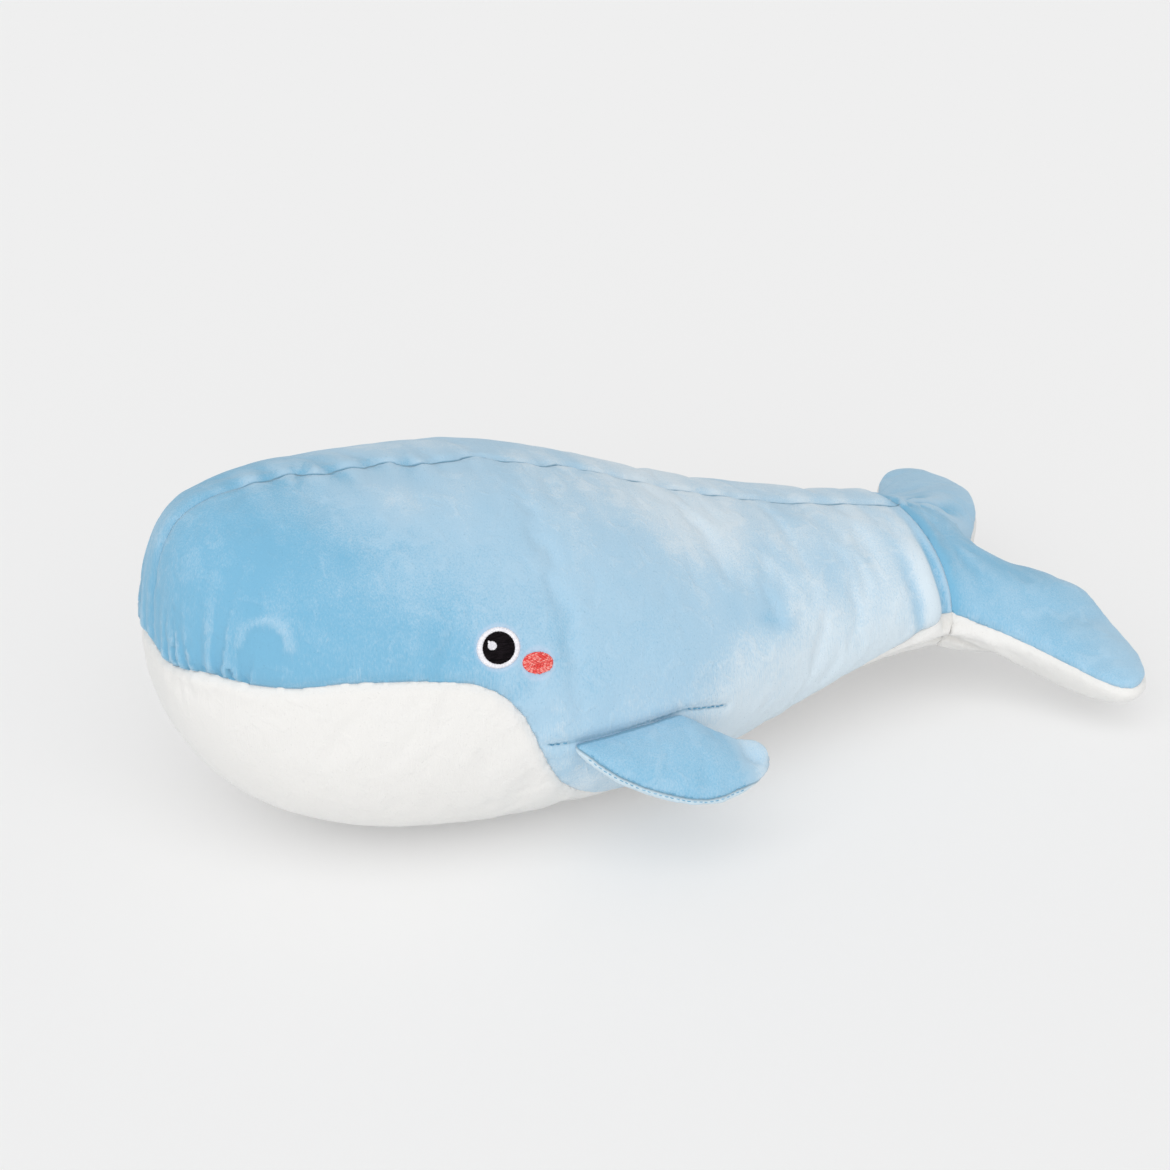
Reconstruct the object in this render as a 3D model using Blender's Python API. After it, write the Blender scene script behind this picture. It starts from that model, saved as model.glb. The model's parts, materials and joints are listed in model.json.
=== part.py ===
"""A stuffed whale that lies on its belly.

Sewn fabric panels lie over fibre filling: two side panels that meet along the back, one white belly panel,
two flippers and a two-lobed tail, each with its own filling, and embroidered eyes and cheeks.

+X runs from the nose to the tail, +Y to the whale's right and +Z up. The origin is on the surface that the
whale lies on, under the middle of its length. Lengths are in metres.
"""
import math

import bmesh
import bpy
import numpy as np
from mathutils import Matrix

# Fabric and clearances
FABRIC = 0.0016
CLEARANCE = 0.0003
FLAT_DEPTH = 0.0005
OVERRUN = 0.03

# Body, from the nose to the waist seam
BODY_LENGTH = 0.464
BODY_HEIGHT = 0.208
BODY_WIDTH = 0.244

# Tail, behind the waist seam
TAIL_LENGTH = 0.106
TAIL_SPAN = 0.282
TAIL_THICKNESS = 0.046
TAIL_SAG = 0.0166
TAIL_DROOP_LEFT = 0.031
TAIL_DROOP_RIGHT = 0.010
TAIL_TWIST_LEFT = 0.009
TAIL_BEND = math.radians(24)
TAIL_BEND_SPARE = math.radians(2)

# Flippers, each sewn along a level line of its side panel
FLIPPER_LENGTH = 0.108
FLIPPER_REACH = 0.056
FLIPPER_THICKNESS = 0.019
FLIPPER_CURL = 0.007
FLIPPER_HINGE_INSET = 0.005
FLIPPER_HINGE_RISE = 0.0025
FLIPPER_DROOP = math.radians(40)
FLIPPER_LIFT = math.radians(50)
FLIPPER_PRESS = math.radians(20)

# Embroidery
EYE_DIAMETER = 0.0225
PUPIL_DIAMETER = 0.0176
GLINT_DIAMETER = 0.0046
CHEEK_WIDTH = 0.0158
CHEEK_HEIGHT = 0.0122
STITCH_HEIGHT = 0.0009

# The body's sections: how far along the length each lies, then its highest and lowest point as shares of
# the height, and its half width as a share of half the width
STATION_SHARES = (0, .006, .03, .08, .16, .27, .40, .53, .66, .78, .89, 1)
BACK_SHARES = (.587, .736, .913, .986, 1, .981, .947, .865, .745, .654, .591, .538)
BELLY_SHARES = (.587, .438, .298, .163, .063, .014, 0, 0, .048, .111, .139, .154)
WIDTH_SHARES = (0, .246, .393, .590, .787, .926, 1, .967, .844, .705, .598, .525)
WIDEST_SHARE = .42
BACK_POWER = 2.0
BELLY_POWER = 2.3

# The seam between the side panels and the belly panel: level along the mouth, down at the corner of the jaw,
# low along the belly and up again to the side of the waist. It is a share of the half turn from the back.
SEAM_STATION_SHARES = (0, .08, .168, .23, .293, .325, .345, .366, .381, .397, .407, .431, .496, .60, .71,
                       .82, .907, .95, 1)
SEAM_TURN_SHARES = (.455, .44, .402, .394, .396, .408, .436, .475, .55, .594, .633, .683, .733, .767, .744,
                    .70, .628, .56, .5)

# The tail's outline, half of it: front and rear edges as shares of its length
FRONT_REACH_SHARES = (0, .05, .12, .39, .70, .83, .93, .985, 1)
FRONT_EDGE_SHARES = (0, .085, .175, .368, .52, .583, .645, .70, .76)
REAR_REACH_SHARES = (0, .02, .10, .17, .24, .32, .41, .50, .62, .757, .857, .957, 1)
REAR_EDGE_SHARES = (.548, .556, .622, .699, .776, .847, .908, .963, .992, 1, .963, .888, .76)
DROOP_POWER = .6
SAG_POWER = 1.5
TAIL_FULLNESS = 3
FLIPPER_PAD_POWER = .5
FLIPPER_PINCH_SHARE = .36
FLIPPER_PINCH_POWER = 4

# A flipper's outline: inner and outer edges as shares of its reach, along its length
FLIPPER_STATION_SHARES = (0, .023, .083, .213, .39, .51, .66, .74, .82, .89, .95, .985, 1)
FLIPPER_INNER_SHARES = (0, 0, 0, 0, 0, 0, .02, .22, .42, .46, .51, .61, .72)
FLIPPER_OUTER_SHARES = (0, .14, .33, .60, .83, .95, 1, 1, .995, .97, .90, .81, .72)

# Where the flippers and the embroidery sit, as shares of the body's length and height
FLIPPER_FRONT_SHARE = .405
FLIPPER_REAR_SHARE = .565
FLIPPER_HEIGHT_SHARE = .385
EYE_PLACE_SHARES = (.334, .663)
CHEEK_PLACE_SHARES = (.376, .612)
GLINT_OFFSET_SHARES = (-.19, .06)

# The section of an embroidered patch, from its middle to its rim and back over the top: out along the
# fabric, and up as a share of the stitches' height. A ring has its own, from its inner edge.
DISC_SHARES = ((0, 0), (.5, 0), (1, 0), (1, 1 / 3), (.8, 1), (.4, 1), (0, 1))
RING_SHARES = ((0, 0), (.5, 0), (1, 0), (1, 1 / 3), (.5, 1), (0, 1 / 3), (0, 0))

# How finely the surfaces are divided
BODY_ROWS = (2, 2, 2, 2, 3, 6, 3, 3, 2, 2, 2)
SIDE_COLUMNS = 8
BELLY_COLUMNS = 10
TAIL_ROOT_ROWS = 7
TAIL_LOBE_ROWS = 7
TAIL_COLUMNS = 8
FLIPPER_ROWS = 12
FLIPPER_COLUMNS = 6
PATCH_SIDES = 28
SWING_STEPS = 15
STATION_STEPS = 2000
SHARP_ANGLE = math.radians(50)
MERGE_DIGITS = 7

NOSE = -(BODY_LENGTH + TAIL_LENGTH) / 2
WAIST = NOSE + BODY_LENGTH
MIRROR = np.array((1, -1, 1))

BLUE = (.30, .58, .80)
PALE_BLUE = (.45, .70, .86)
WHITE = (.86, .86, .85)
FIBRE = (.80, .80, .78)
BLACK = (.012, .012, .016)
CORAL = (.93, .13, .10)


def clear_scene():
    for thing in list(bpy.data.objects):
        bpy.data.objects.remove(thing)
    parts, cutters = (bpy.data.collections.new(name) for name in ("plush_whale", "cutters"))
    for collection in (parts, cutters):
        bpy.context.scene.collection.children.link(collection)
    return parts, cutters


PARTS, CUTTERS = clear_scene()


def material(name, colour, roughness):
    made = bpy.data.materials.get(name) or bpy.data.materials.new(name)
    made.use_nodes = True
    shader = made.node_tree.nodes["Principled BSDF"]
    shader.inputs["Base Color"].default_value = (*colour, 1)
    shader.inputs["Roughness"].default_value = roughness
    shader.inputs["Metallic"].default_value = 0
    return made


def curve(shares, values, at):
    """A smooth curve through chosen values, which never swings past them (monotone cubic)."""
    known, values = np.asarray(shares, float), np.asarray(values, float)
    step = np.diff(known)
    rise = np.diff(values) / step
    slope = np.concatenate((rise[:1], np.zeros(len(rise) - 1), rise[-1:]))
    for k in range(1, len(rise)):
        if rise[k - 1] * rise[k] > 0:
            before, after = 2 * step[k] + step[k - 1], step[k] + 2 * step[k - 1]
            slope[k] = (before + after) / (before / rise[k - 1] + after / rise[k])
    at = np.clip(at, known[0], known[-1])
    k = np.clip(np.searchsorted(known, at, side="right") - 1, 0, len(step) - 1)
    u = (at - known[k]) / step[k]
    start = (1 + 2 * u) * (1 - u) ** 2 * values[k] + u * (1 - u) ** 2 * step[k] * slope[k]
    end = u * u * (3 - 2 * u) * values[k + 1] + u * u * (u - 1) * step[k] * slope[k + 1]
    return start + end


def outward(vectors):
    length = np.linalg.norm(vectors, axis=-1, keepdims=True)
    return vectors / np.where(length > 0, length, 1)


class Form:
    """The outer surface of one stuffed piece, as grids of points that share their edges.

    Each grid runs row by row along the piece and column by column round it, so that its faces point out.
    Every point keeps one normal for the whole piece, so panels cut from it match along their seams, and
    at the waist seam the normals are square to the body.
    """

    def __init__(self, **grids):
        self.grids = grids
        stacked = np.concatenate([grid.reshape(-1, 3) for grid in grids.values()])
        places, index = np.unique(np.round(stacked, MERGE_DIGITS), axis=0, return_inverse=True)
        index = index.reshape(-1)
        normals = np.zeros_like(places)
        start = 0
        self.index = {}
        for name, grid in grids.items():
            rows, columns = grid.shape[:2]
            self.index[name] = index[start:start + rows * columns].reshape(rows, columns)
            start += rows * columns
            across = grid[1:, 1:] - grid[:-1, :-1]
            along = grid[1:, :-1] - grid[:-1, 1:]
            facing = np.cross(across, along)
            for corner in (np.s_[:-1, :-1], np.s_[:-1, 1:], np.s_[1:, :-1], np.s_[1:, 1:]):
                np.add.at(normals, self.index[name][corner], facing)
        normals[np.isclose(places[:, 0], WAIST), 0] = 0
        self.normals = {name: outward(normals[index]) for name, index in self.index.items()}

    def inset(self, name, depth):
        return self.grids[name] - self.normals[name] * depth


def triangles(index):
    """The faces of a grid of point numbers, every cell split the same way, so that layers stay parallel."""
    faces = []
    for i in range(index.shape[0] - 1):
        for j in range(index.shape[1] - 1):
            first, second, third, fourth = index[i, j], index[i, j + 1], index[i + 1, j + 1], index[i + 1, j]
            faces += [(first, second, third), (first, third, fourth)]
    return [tuple(int(n) for n in face) for face in faces if len(set(face)) == 3]


def solid(name, grids, loops=(), colour=WHITE, roughness=.9, origin=(0, 0, 0)):
    """One closed body from grids whose edges meet, with flat faces over the listed loops of points."""
    pieces = [np.asarray(grid, float) for grid in grids]
    rings = [np.asarray(loop, float)[None] for loop in loops]
    stacked = np.concatenate([piece.reshape(-1, 3) for piece in pieces + rings])
    places, index = np.unique(np.round(stacked, MERGE_DIGITS), axis=0, return_inverse=True)
    index = index.reshape(-1)
    faces = []
    start = 0
    for piece in pieces + rings:
        rows, columns = piece.shape[:2]
        numbers = index[start:start + rows * columns].reshape(rows, columns)
        start += rows * columns
        faces += triangles(numbers) if rows > 1 else [list(dict.fromkeys(int(n) for n in numbers[0]))]
    mesh = bpy.data.meshes.new(name)
    mesh.from_pydata((places - np.asarray(origin)).tolist(), [], faces)
    work = bmesh.new()
    work.from_mesh(mesh)
    bmesh.ops.recalc_face_normals(work, faces=work.faces)
    work.to_mesh(mesh)
    work.free()
    mesh.shade_smooth()
    mesh.set_sharp_from_angle(angle=SHARP_ANGLE)
    mesh.materials.append(material(name, colour, roughness))
    made = bpy.data.objects.new(name, mesh)
    made.location = origin
    PARTS.objects.link(made)
    return made


def seam_edges(grid, normals):
    """The grid with its first and last column drawn in by half a clearance, along the surface."""
    moved = grid.copy()
    for edge, beside in ((0, 1), (-1, -2)):
        tangent = np.gradient(grid[:, edge], axis=0)
        inward = outward(np.cross(normals[:, edge], tangent))
        way = np.sign(np.sum(inward * (grid[:, beside] - grid[:, edge])))
        moved[:, edge] += inward * way * CLEARANCE / 2
    for row in (0, -1):
        if np.ptp(grid[row], axis=0).max() == 0:
            moved[row] = grid[row, 0] + (moved[row, 0] - grid[row, 0]) + (moved[row, -1] - grid[row, -1])
    return moved


def panel(name, form, part, colour, waist=WAIST, origin=(0, 0, 0)):
    """A fabric panel: one grid of a form, one fabric thick, with a gap along its sewn sides.

    Its edge at the waist seam is square to the body, at the given place along it.
    """
    outer = seam_edges(form.grids[part], form.normals[part])
    inner = outer - form.normals[part] * FABRIC
    at_waist = np.isclose(form.grids[part][..., 0], WAIST)
    for sheet in (outer, inner):
        sheet[at_waist, 0] = waist
    rims = [np.stack((outer[0], inner[0])), np.stack((outer[-1], inner[-1])),
            np.stack((outer[:, 0], inner[:, 0])), np.stack((outer[:, -1], inner[:, -1]))]
    rims = [rim for rim in rims if np.ptp(rim[0], axis=0).max() > 0]
    return solid(name, [outer, inner, *rims], colour=colour, origin=origin)


def box_cutter(name, low, high, turn=0.0, about=(0, 0, 0)):
    """A box between two corners, turned about a level axis along Y."""
    low, high = np.asarray(low), np.asarray(high)
    bpy.ops.mesh.primitive_cube_add(size=1)
    cutter = bpy.context.object
    cutter.name = name
    cutter.data.transform(Matrix.Translation((high + low) / 2) @ Matrix.Diagonal((*(high - low), 1)))
    cutter.location = about
    cutter.rotation_euler = (0, turn, 0)
    for collection in list(cutter.users_collection):
        collection.objects.unlink(cutter)
    CUTTERS.objects.link(cutter)
    cutter.hide_render = True
    cutter.display_type = "WIRE"
    return cutter


def cut(target, cutter):
    modifier = target.modifiers.new(cutter.name, "BOOLEAN")
    modifier.operation = "DIFFERENCE"
    modifier.solver = "EXACT"
    modifier.object = cutter


# The body

def body_section(place):
    """Length share, highest point, lowest point and half width at a place along the stations, 0 to 1."""
    known = np.linspace(0, 1, len(STATION_SHARES))
    along = curve(known, STATION_SHARES, place)
    back = curve(known, BACK_SHARES, place) * BODY_HEIGHT
    belly = curve(known, BELLY_SHARES, place) * BODY_HEIGHT
    return along, back, belly, curve(known, WIDTH_SHARES, place) * BODY_WIDTH / 2


def body_points(place, turn):
    """Points at a place along the body: turn 0 is at the back, 1 under the belly and 2 at the back again."""
    along, back, belly, half = body_section(place)
    widest = belly + WIDEST_SHARE * (back - belly)
    up, out = np.cos(math.pi * turn), np.sin(math.pi * turn)
    power = np.where(up > 0, BACK_POWER, BELLY_POWER)
    y = -half * np.sign(out) * np.abs(out) ** (2 / power)
    z = widest + np.where(up > 0, back - widest, belly - widest) * np.abs(up) ** (2 / power)
    return np.stack(np.broadcast_arrays(NOSE + along * BODY_LENGTH, y, z - FLAT_DEPTH), axis=-1)


def place_of(share):
    """The place along the stations where the body is this share of its length from the nose."""
    fine = np.linspace(0, 1, STATION_STEPS)
    return np.interp(share, body_section(fine)[0], fine)


def side_point(share, height):
    """The point of the left side panel at a share of the length and a height above the floor."""
    place = place_of(share)
    along, back, belly, half = body_section(place)
    height = height + FLAT_DEPTH
    widest = belly + WIDEST_SHARE * (back - belly)
    power = np.where(height > widest, BACK_POWER, BELLY_POWER)
    reach = np.where(height > widest, back - widest, widest - belly)
    y = half * (1 - np.clip(np.abs(height - widest) / reach, 0, 1) ** power) ** (1 / power)
    return np.stack(np.broadcast_arrays(NOSE + along * BODY_LENGTH, -y, height - FLAT_DEPTH), axis=-1)


def body_form():
    steps = [np.linspace(0, 1, count, endpoint=False) + k for k, count in enumerate(BODY_ROWS)]
    place = np.append(np.concatenate(steps), len(BODY_ROWS))[:, None] / len(BODY_ROWS)
    seam = curve(SEAM_STATION_SHARES, SEAM_TURN_SHARES, body_section(place)[0])
    round_side = np.linspace(0, 1, SIDE_COLUMNS + 1)
    round_belly = np.linspace(0, 1, BELLY_COLUMNS + 1)
    left = body_points(place, seam * round_side)
    belly = body_points(place, seam + (2 - 2 * seam) * round_belly)
    left[:, 0, 1] = 0
    belly[:, 0] = left[:, -1]
    belly[:, -1] = left[:, -1] * MIRROR
    for grid in (left, belly):
        grid[0] = left[0, 0]
    return Form(left=left, belly=belly, right=left[:, ::-1] * MIRROR)


def make_body():
    form = body_form()
    rear = WAIST - CLEARANCE / 2
    for side in ("left", "right"):
        panel("side_panel_" + side, form, side, BLUE, rear)
    belly = panel("belly_panel", form, "belly", WHITE, rear)
    floor = box_cutter("floor_cutter", (NOSE, -BODY_WIDTH, -OVERRUN), (WAIST, BODY_WIDTH, 0))
    cut(belly, floor)
    grids = [form.inset(part, FABRIC + CLEARANCE) for part in ("left", "belly", "right")]
    for grid in grids:
        grid[-1, :, 0] = WAIST - CLEARANCE
    end = np.concatenate([grid[-1, :-1] for grid in grids])
    solid("body_filling", grids, [end], FIBRE)


# The tail

def waist_heights(y):
    """How far the waist seam stands above and below the middle of the waist, at distances from its centre."""
    _, back, belly, half = body_section(1.0)
    widest = belly + WIDEST_SHARE * (back - belly)
    out = np.clip(np.abs(y) / half, 0, 1)
    above = (back - widest) * (1 - out ** BACK_POWER) ** (1 / BACK_POWER)
    return above, (widest - belly) * (1 - out ** BELLY_POWER) ** (1 / BELLY_POWER)


def waist_middle():
    _, back, belly, half = body_section(1.0)
    return belly + WIDEST_SHARE * (back - belly) - FLAT_DEPTH, half


def tail_form():
    middle, half = waist_middle()
    tip = TAIL_SPAN / 2
    root = half * np.sin(np.linspace(0, math.pi / 2, TAIL_ROOT_ROWS + 1))
    lobe = half + (tip - half) * np.sin(np.linspace(0, math.pi / 2, TAIL_LOBE_ROWS + 1))[1:]
    reach = np.concatenate((-lobe[::-1], -root[:0:-1], root, lobe))[:, None]
    share = np.abs(reach) / tip
    past_waist = np.clip((np.abs(reach) - half) / (tip - half), 0, 1)
    front = curve(FRONT_REACH_SHARES, FRONT_EDGE_SHARES, past_waist) * TAIL_LENGTH
    rear = curve(REAR_REACH_SHARES, REAR_EDGE_SHARES, share) * TAIL_LENGTH
    droop = np.where(reach < 0, TAIL_DROOP_LEFT, TAIL_DROOP_RIGHT) * past_waist ** DROOP_POWER
    twist = np.where(reach < 0, TAIL_TWIST_LEFT, 0) * 4 * share * (1 - share)
    turn = np.linspace(0, math.pi, TAIL_COLUMNS + 1)
    across = (1 - np.cos(turn)) / 2
    x = WAIST + front + (rear - front) * across
    swell = np.sqrt(1 - share ** TAIL_FULLNESS) * np.sin(turn)
    swell[:, -1] = 0
    centre = middle - droop - twist * across - TAIL_SAG * np.sqrt(share) * swell ** SAG_POWER
    sheets = []
    for height, way in zip(waist_heights(reach), (1, -1)):
        z = centre + way * np.hypot(height * (1 - across), TAIL_THICKNESS / 2 * swell)
        sheets.append(np.stack(np.broadcast_arrays(x, reach, z), axis=-1))
    upper, lower = sheets
    edge = np.abs(reach[:, 0]) >= half
    lower[edge, 0] = upper[edge, 0]
    for sheet in sheets:
        sheet[0] = sheet[0, 0]
        sheet[-1] = sheet[-1, 0]
    return Form(upper=upper, lower=lower[:, ::-1]), edge


def make_tail():
    form, edge = tail_form()
    middle, half = waist_middle()
    hinge = (WAIST, 0, middle)
    front = WAIST + CLEARANCE / 2
    panel("tail_upper_panel", form, "upper", BLUE, front, hinge)
    panel("tail_lower_panel", form, "lower", WHITE, front, hinge)
    upper, lower = (form.inset(part, FABRIC + CLEARANCE) for part in ("upper", "lower"))
    waist = ~edge
    upper[waist, 0, 0] = WAIST + CLEARANCE
    lower[waist, -1, 0] = WAIST + CLEARANCE
    rows = np.flatnonzero(waist)
    rows = np.arange(rows[0] - 1, rows[-1] + 2)
    front = np.stack((lower[rows, -1], upper[rows, 0]), axis=1)
    filling = solid("tail_filling", [upper, lower, front], colour=FIBRE, origin=hinge)
    for name, way in (("upper", 1), ("lower", -1)):
        low = (-OVERRUN, -TAIL_SPAN, min(0, way * BODY_HEIGHT))
        high = (CLEARANCE, TAIL_SPAN, max(0, way * BODY_HEIGHT))
        turn = way * (TAIL_BEND + TAIL_BEND_SPARE)
        cut(filling, box_cutter("bend_cutter_" + name, low, high, turn, hinge))


# The flippers

def flipper_frame():
    """Where the left flipper's sewn line starts on its side panel, and its ways along, level, out and up."""
    share = np.array((FLIPPER_FRONT_SHARE, FLIPPER_REAR_SHARE))
    front, rear = side_point(share, FLIPPER_HEIGHT_SHARE * BODY_HEIGHT)
    along = outward(rear - front)
    level = np.cross(along, (0, 0, 1))
    out = level * math.cos(FLIPPER_DROOP) - np.array((0, 0, math.sin(FLIPPER_DROOP)))
    return front, along, level, out, np.cross(out, along)


def flipper_sheets():
    """The upper and lower surface of the left flipper, and its sewn edge, which follows the side panel."""
    front, along, _, out, up = flipper_frame()
    share = (1 - np.cos(np.linspace(0, math.pi, FLIPPER_ROWS + 1)))[:, None] / 2
    inner = curve(FLIPPER_STATION_SHARES, FLIPPER_INNER_SHARES, share)
    outer = curve(FLIPPER_STATION_SHARES, FLIPPER_OUTER_SHARES, share)
    turn = np.linspace(0, math.pi, FLIPPER_COLUMNS + 1)
    across = (1 - np.cos(turn)) / 2
    v = inner + (outer - inner) * across
    pinched = 1 - FLIPPER_PINCH_SHARE * (1 - across) ** FLIPPER_PINCH_POWER
    pad = FLIPPER_THICKNESS / 2 * (outer - inner) ** FLIPPER_PAD_POWER * np.sin(turn) * pinched
    pad[:, -1] = 0
    curl = FLIPPER_CURL * share ** 2 * v
    straight = front + (share * FLIPPER_LENGTH)[..., None] * along
    sewn = side_point((straight[..., 0] - NOSE) / BODY_LENGTH, straight[..., 2])
    sheets = []
    for way in (1, -1):
        sheet = sewn + (v * FLIPPER_REACH)[..., None] * out + (curl + way * pad)[..., None] * up
        sheet[0] = sheet[0, 0]
        sheet[-1] = sheet[-1, 0]
        sheets.append(sheet)
    return sheets, sewn[:, 0]


def turned(points, about, axis, angle):
    """Points turned about an axis that passes through a point."""
    arm = points - about
    kept = (arm @ axis)[..., None] * axis
    return about + kept + (arm - kept) * math.cos(angle) + np.cross(axis, arm) * math.sin(angle)


def flipper_form():
    """The left flipper, and its hinge. It stands off the side panel by what its swing needs.

    That is worked out on the panel's smooth curve. The panel's facets lie deeper, which leaves the clearance.
    """
    front, along, level, out, up = flipper_frame()
    sheets, sewn = flipper_sheets()
    hinge = front + level * max((sewn - front) @ level) + out * FLIPPER_HINGE_INSET + up * FLIPPER_HINGE_RISE
    depth = []
    for angle in np.linspace(-FLIPPER_PRESS, FLIPPER_LIFT, SWING_STEPS):
        swung = turned(np.array(sheets), hinge, -along, angle)
        on_panel = side_point((swung[..., 0] - NOSE) / BODY_LENGTH, swung[..., 2])
        depth.append(np.max(swung[..., 1] - on_panel[..., 1]))
    stand_off = level * max(depth)
    upper, lower = (sheet + stand_off for sheet in sheets)
    return Form(upper=upper, lower=lower[:, ::-1]), hinge + stand_off


def mirrored(form):
    return Form(**{part: grid[:, ::-1] * MIRROR for part, grid in form.grids.items()})


def make_flippers():
    left, hinge = flipper_form()
    for side, form, origin in (("left", left, hinge), ("right", mirrored(left), hinge * MIRROR)):
        panel("flipper_upper_" + side, form, "upper", BLUE, origin=origin)
        panel("flipper_lower_" + side, form, "lower", PALE_BLUE, origin=origin)
        grids = [form.inset(part, FABRIC + CLEARANCE) for part in ("upper", "lower")]
        solid("flipper_filling_" + side, grids, colour=FIBRE, origin=origin)


# The embroidery

def stitched_points(place, offsets, raise_by):
    """Points near a place on the left side panel, raised off it. Offsets run rearwards and up the panel."""
    centre = side_point(place[0], place[1] * BODY_HEIGHT)
    reach = EYE_DIAMETER / 2
    rear = outward(side_point(place[0] + reach / BODY_LENGTH, centre[2]) - centre)
    top = outward(side_point(place[0], centre[2] + reach) - centre)
    flat = centre + offsets[..., :1] * rear + offsets[..., 1:] * top
    on_panel = side_point((flat[..., 0] - NOSE) / BODY_LENGTH, flat[..., 2])
    return on_panel + outward(np.cross(rear, top)) * raise_by


def patch(name, place, width, height, colour, hole=0.0, offset=(0, 0), lift=0.0):
    """An embroidered oval on each side panel, low at its rim, with a hole where another colour lies."""
    angle = np.linspace(0, 2 * math.pi, PATCH_SIDES + 1)
    angle[-1] = 0
    way = np.stack((np.cos(angle), np.sin(angle)), axis=-1) * (width / 2, height / 2)
    inner = (hole + 2 * CLEARANCE) / width if hole else 0
    rows = []
    for out, up in RING_SHARES if hole else DISC_SHARES:
        offsets = way * (inner + (1 - inner) * out) + np.asarray(offset)
        rows.append(stitched_points(place, offsets, CLEARANCE + lift + STITCH_HEIGHT * up))
    grid = np.array(rows)
    solid(name + "_left", [grid], colour=colour, roughness=.6)
    solid(name + "_right", [grid * MIRROR], colour=colour, roughness=.6)


def make_embroidery():
    patch("eye_ring", EYE_PLACE_SHARES, EYE_DIAMETER, EYE_DIAMETER, WHITE, hole=PUPIL_DIAMETER)
    patch("eye_pupil", EYE_PLACE_SHARES, PUPIL_DIAMETER, PUPIL_DIAMETER, BLACK)
    offset = np.array(GLINT_OFFSET_SHARES) * PUPIL_DIAMETER
    patch("eye_glint", EYE_PLACE_SHARES, GLINT_DIAMETER, GLINT_DIAMETER, WHITE, offset=offset,
          lift=STITCH_HEIGHT + CLEARANCE)
    patch("cheek", CHEEK_PLACE_SHARES, CHEEK_WIDTH, CHEEK_HEIGHT, CORAL)


make_body()
make_tail()
make_flippers()
make_embroidery()
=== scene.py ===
import json
import math

import bmesh
import bpy
import numpy as np
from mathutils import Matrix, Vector, noise
from mathutils.bvhtree import BVHTree
from mathutils.kdtree import KDTree


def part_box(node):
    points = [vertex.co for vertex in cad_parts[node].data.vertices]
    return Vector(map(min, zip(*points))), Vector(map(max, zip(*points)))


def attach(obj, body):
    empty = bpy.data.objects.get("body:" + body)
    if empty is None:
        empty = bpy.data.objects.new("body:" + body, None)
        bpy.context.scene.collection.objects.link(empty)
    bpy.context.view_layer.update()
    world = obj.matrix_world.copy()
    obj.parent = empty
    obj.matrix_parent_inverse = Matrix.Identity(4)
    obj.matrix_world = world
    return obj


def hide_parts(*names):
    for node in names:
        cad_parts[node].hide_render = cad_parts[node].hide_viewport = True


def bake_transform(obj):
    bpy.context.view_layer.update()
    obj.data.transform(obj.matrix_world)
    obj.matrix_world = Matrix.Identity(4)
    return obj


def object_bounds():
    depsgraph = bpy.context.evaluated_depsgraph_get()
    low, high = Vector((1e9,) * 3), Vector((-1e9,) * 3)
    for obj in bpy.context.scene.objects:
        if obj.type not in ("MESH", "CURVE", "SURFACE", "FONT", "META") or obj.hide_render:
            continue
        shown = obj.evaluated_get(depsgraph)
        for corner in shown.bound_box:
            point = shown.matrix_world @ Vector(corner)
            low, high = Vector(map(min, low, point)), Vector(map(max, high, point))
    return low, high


bl_info = {
    "name": "Plush Whale",
    "version": (1, 0, 0),
    "blender": (4, 5, 0),
    "location": "View3D > Sidebar > Whale",
    "description": "Dresses the packed frame of a plush whale with sewn, stuffed covers and embroidery",
    "category": "Object",
}

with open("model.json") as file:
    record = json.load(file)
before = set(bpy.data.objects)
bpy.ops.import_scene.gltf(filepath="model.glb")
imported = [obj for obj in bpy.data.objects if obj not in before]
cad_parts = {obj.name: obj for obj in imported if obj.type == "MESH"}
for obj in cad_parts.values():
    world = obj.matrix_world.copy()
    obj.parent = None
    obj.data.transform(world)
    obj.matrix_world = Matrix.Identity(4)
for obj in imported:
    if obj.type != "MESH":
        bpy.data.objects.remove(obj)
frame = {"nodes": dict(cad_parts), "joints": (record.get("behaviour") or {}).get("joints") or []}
CAD_BOX = [list(corner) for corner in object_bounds()]
JOINTS = {joint["name"]: joint for joint in frame["joints"]}

# Places worked out from the frame
WAIST = JOINTS["tail_bend"]["pos_m"][0]
WAIST_MIDDLE = JOINTS["tail_bend"]["pos_m"][2]
NOSE = CAD_BOX[0][0]

# The two sides of the whale, and the way outwards along Y
SIDES = (("left", -1), ("right", 1))

# The panels of the body's skin, in the order of their face numbers
SIDE_LEFT, SIDE_RIGHT, BELLY, TAIL_TOP, TAIL_UNDER = range(5)
FLIPPER_TOP, FLIPPER_UNDER = range(2)
BACK_SEAM = (SIDE_LEFT, SIDE_RIGHT)
WHITE_SEAM = (BELLY, TAIL_UNDER)

# The dip between the tail's lobes, on top: its place, and the reach and depth of its two parts
TAIL_NOTCH = (WAIST + 0.058, -0.004, WAIST_MIDDLE + 0.002)
NOTCH_HOLLOW = (0.022, 0.005)
NOTCH_SAG = (0.028, 0.010)

# How much less the white seam at the waist is drawn in, and how the line at a flipper's root is drawn in
SOFT_SEAM_SHARE = 0.15
ROOT_DEPTH = 0.0013
ROOT_PUFF = 0.0006

# How a flipper lies against the body
FLIPPER_LENGTH = 0.108
FLIPPER_REACH = 0.056
FLIPPER_HINGE_INSET = 0.005
FLIPPER_DROOP = math.radians(40)

# The dent near a flipper's tip: shares of its length and reach, its own reach and depth, and the reach and
# amount of the painted shade that darkens its hollow
FLIPPER_DENT_SHARES = (0.88, 0.56)
FLIPPER_DENT = (0.009, 0.0045)
FLIPPER_DENT_SHADE = (0.008, 0.12)
TIP_NAP = 0.5

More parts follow.
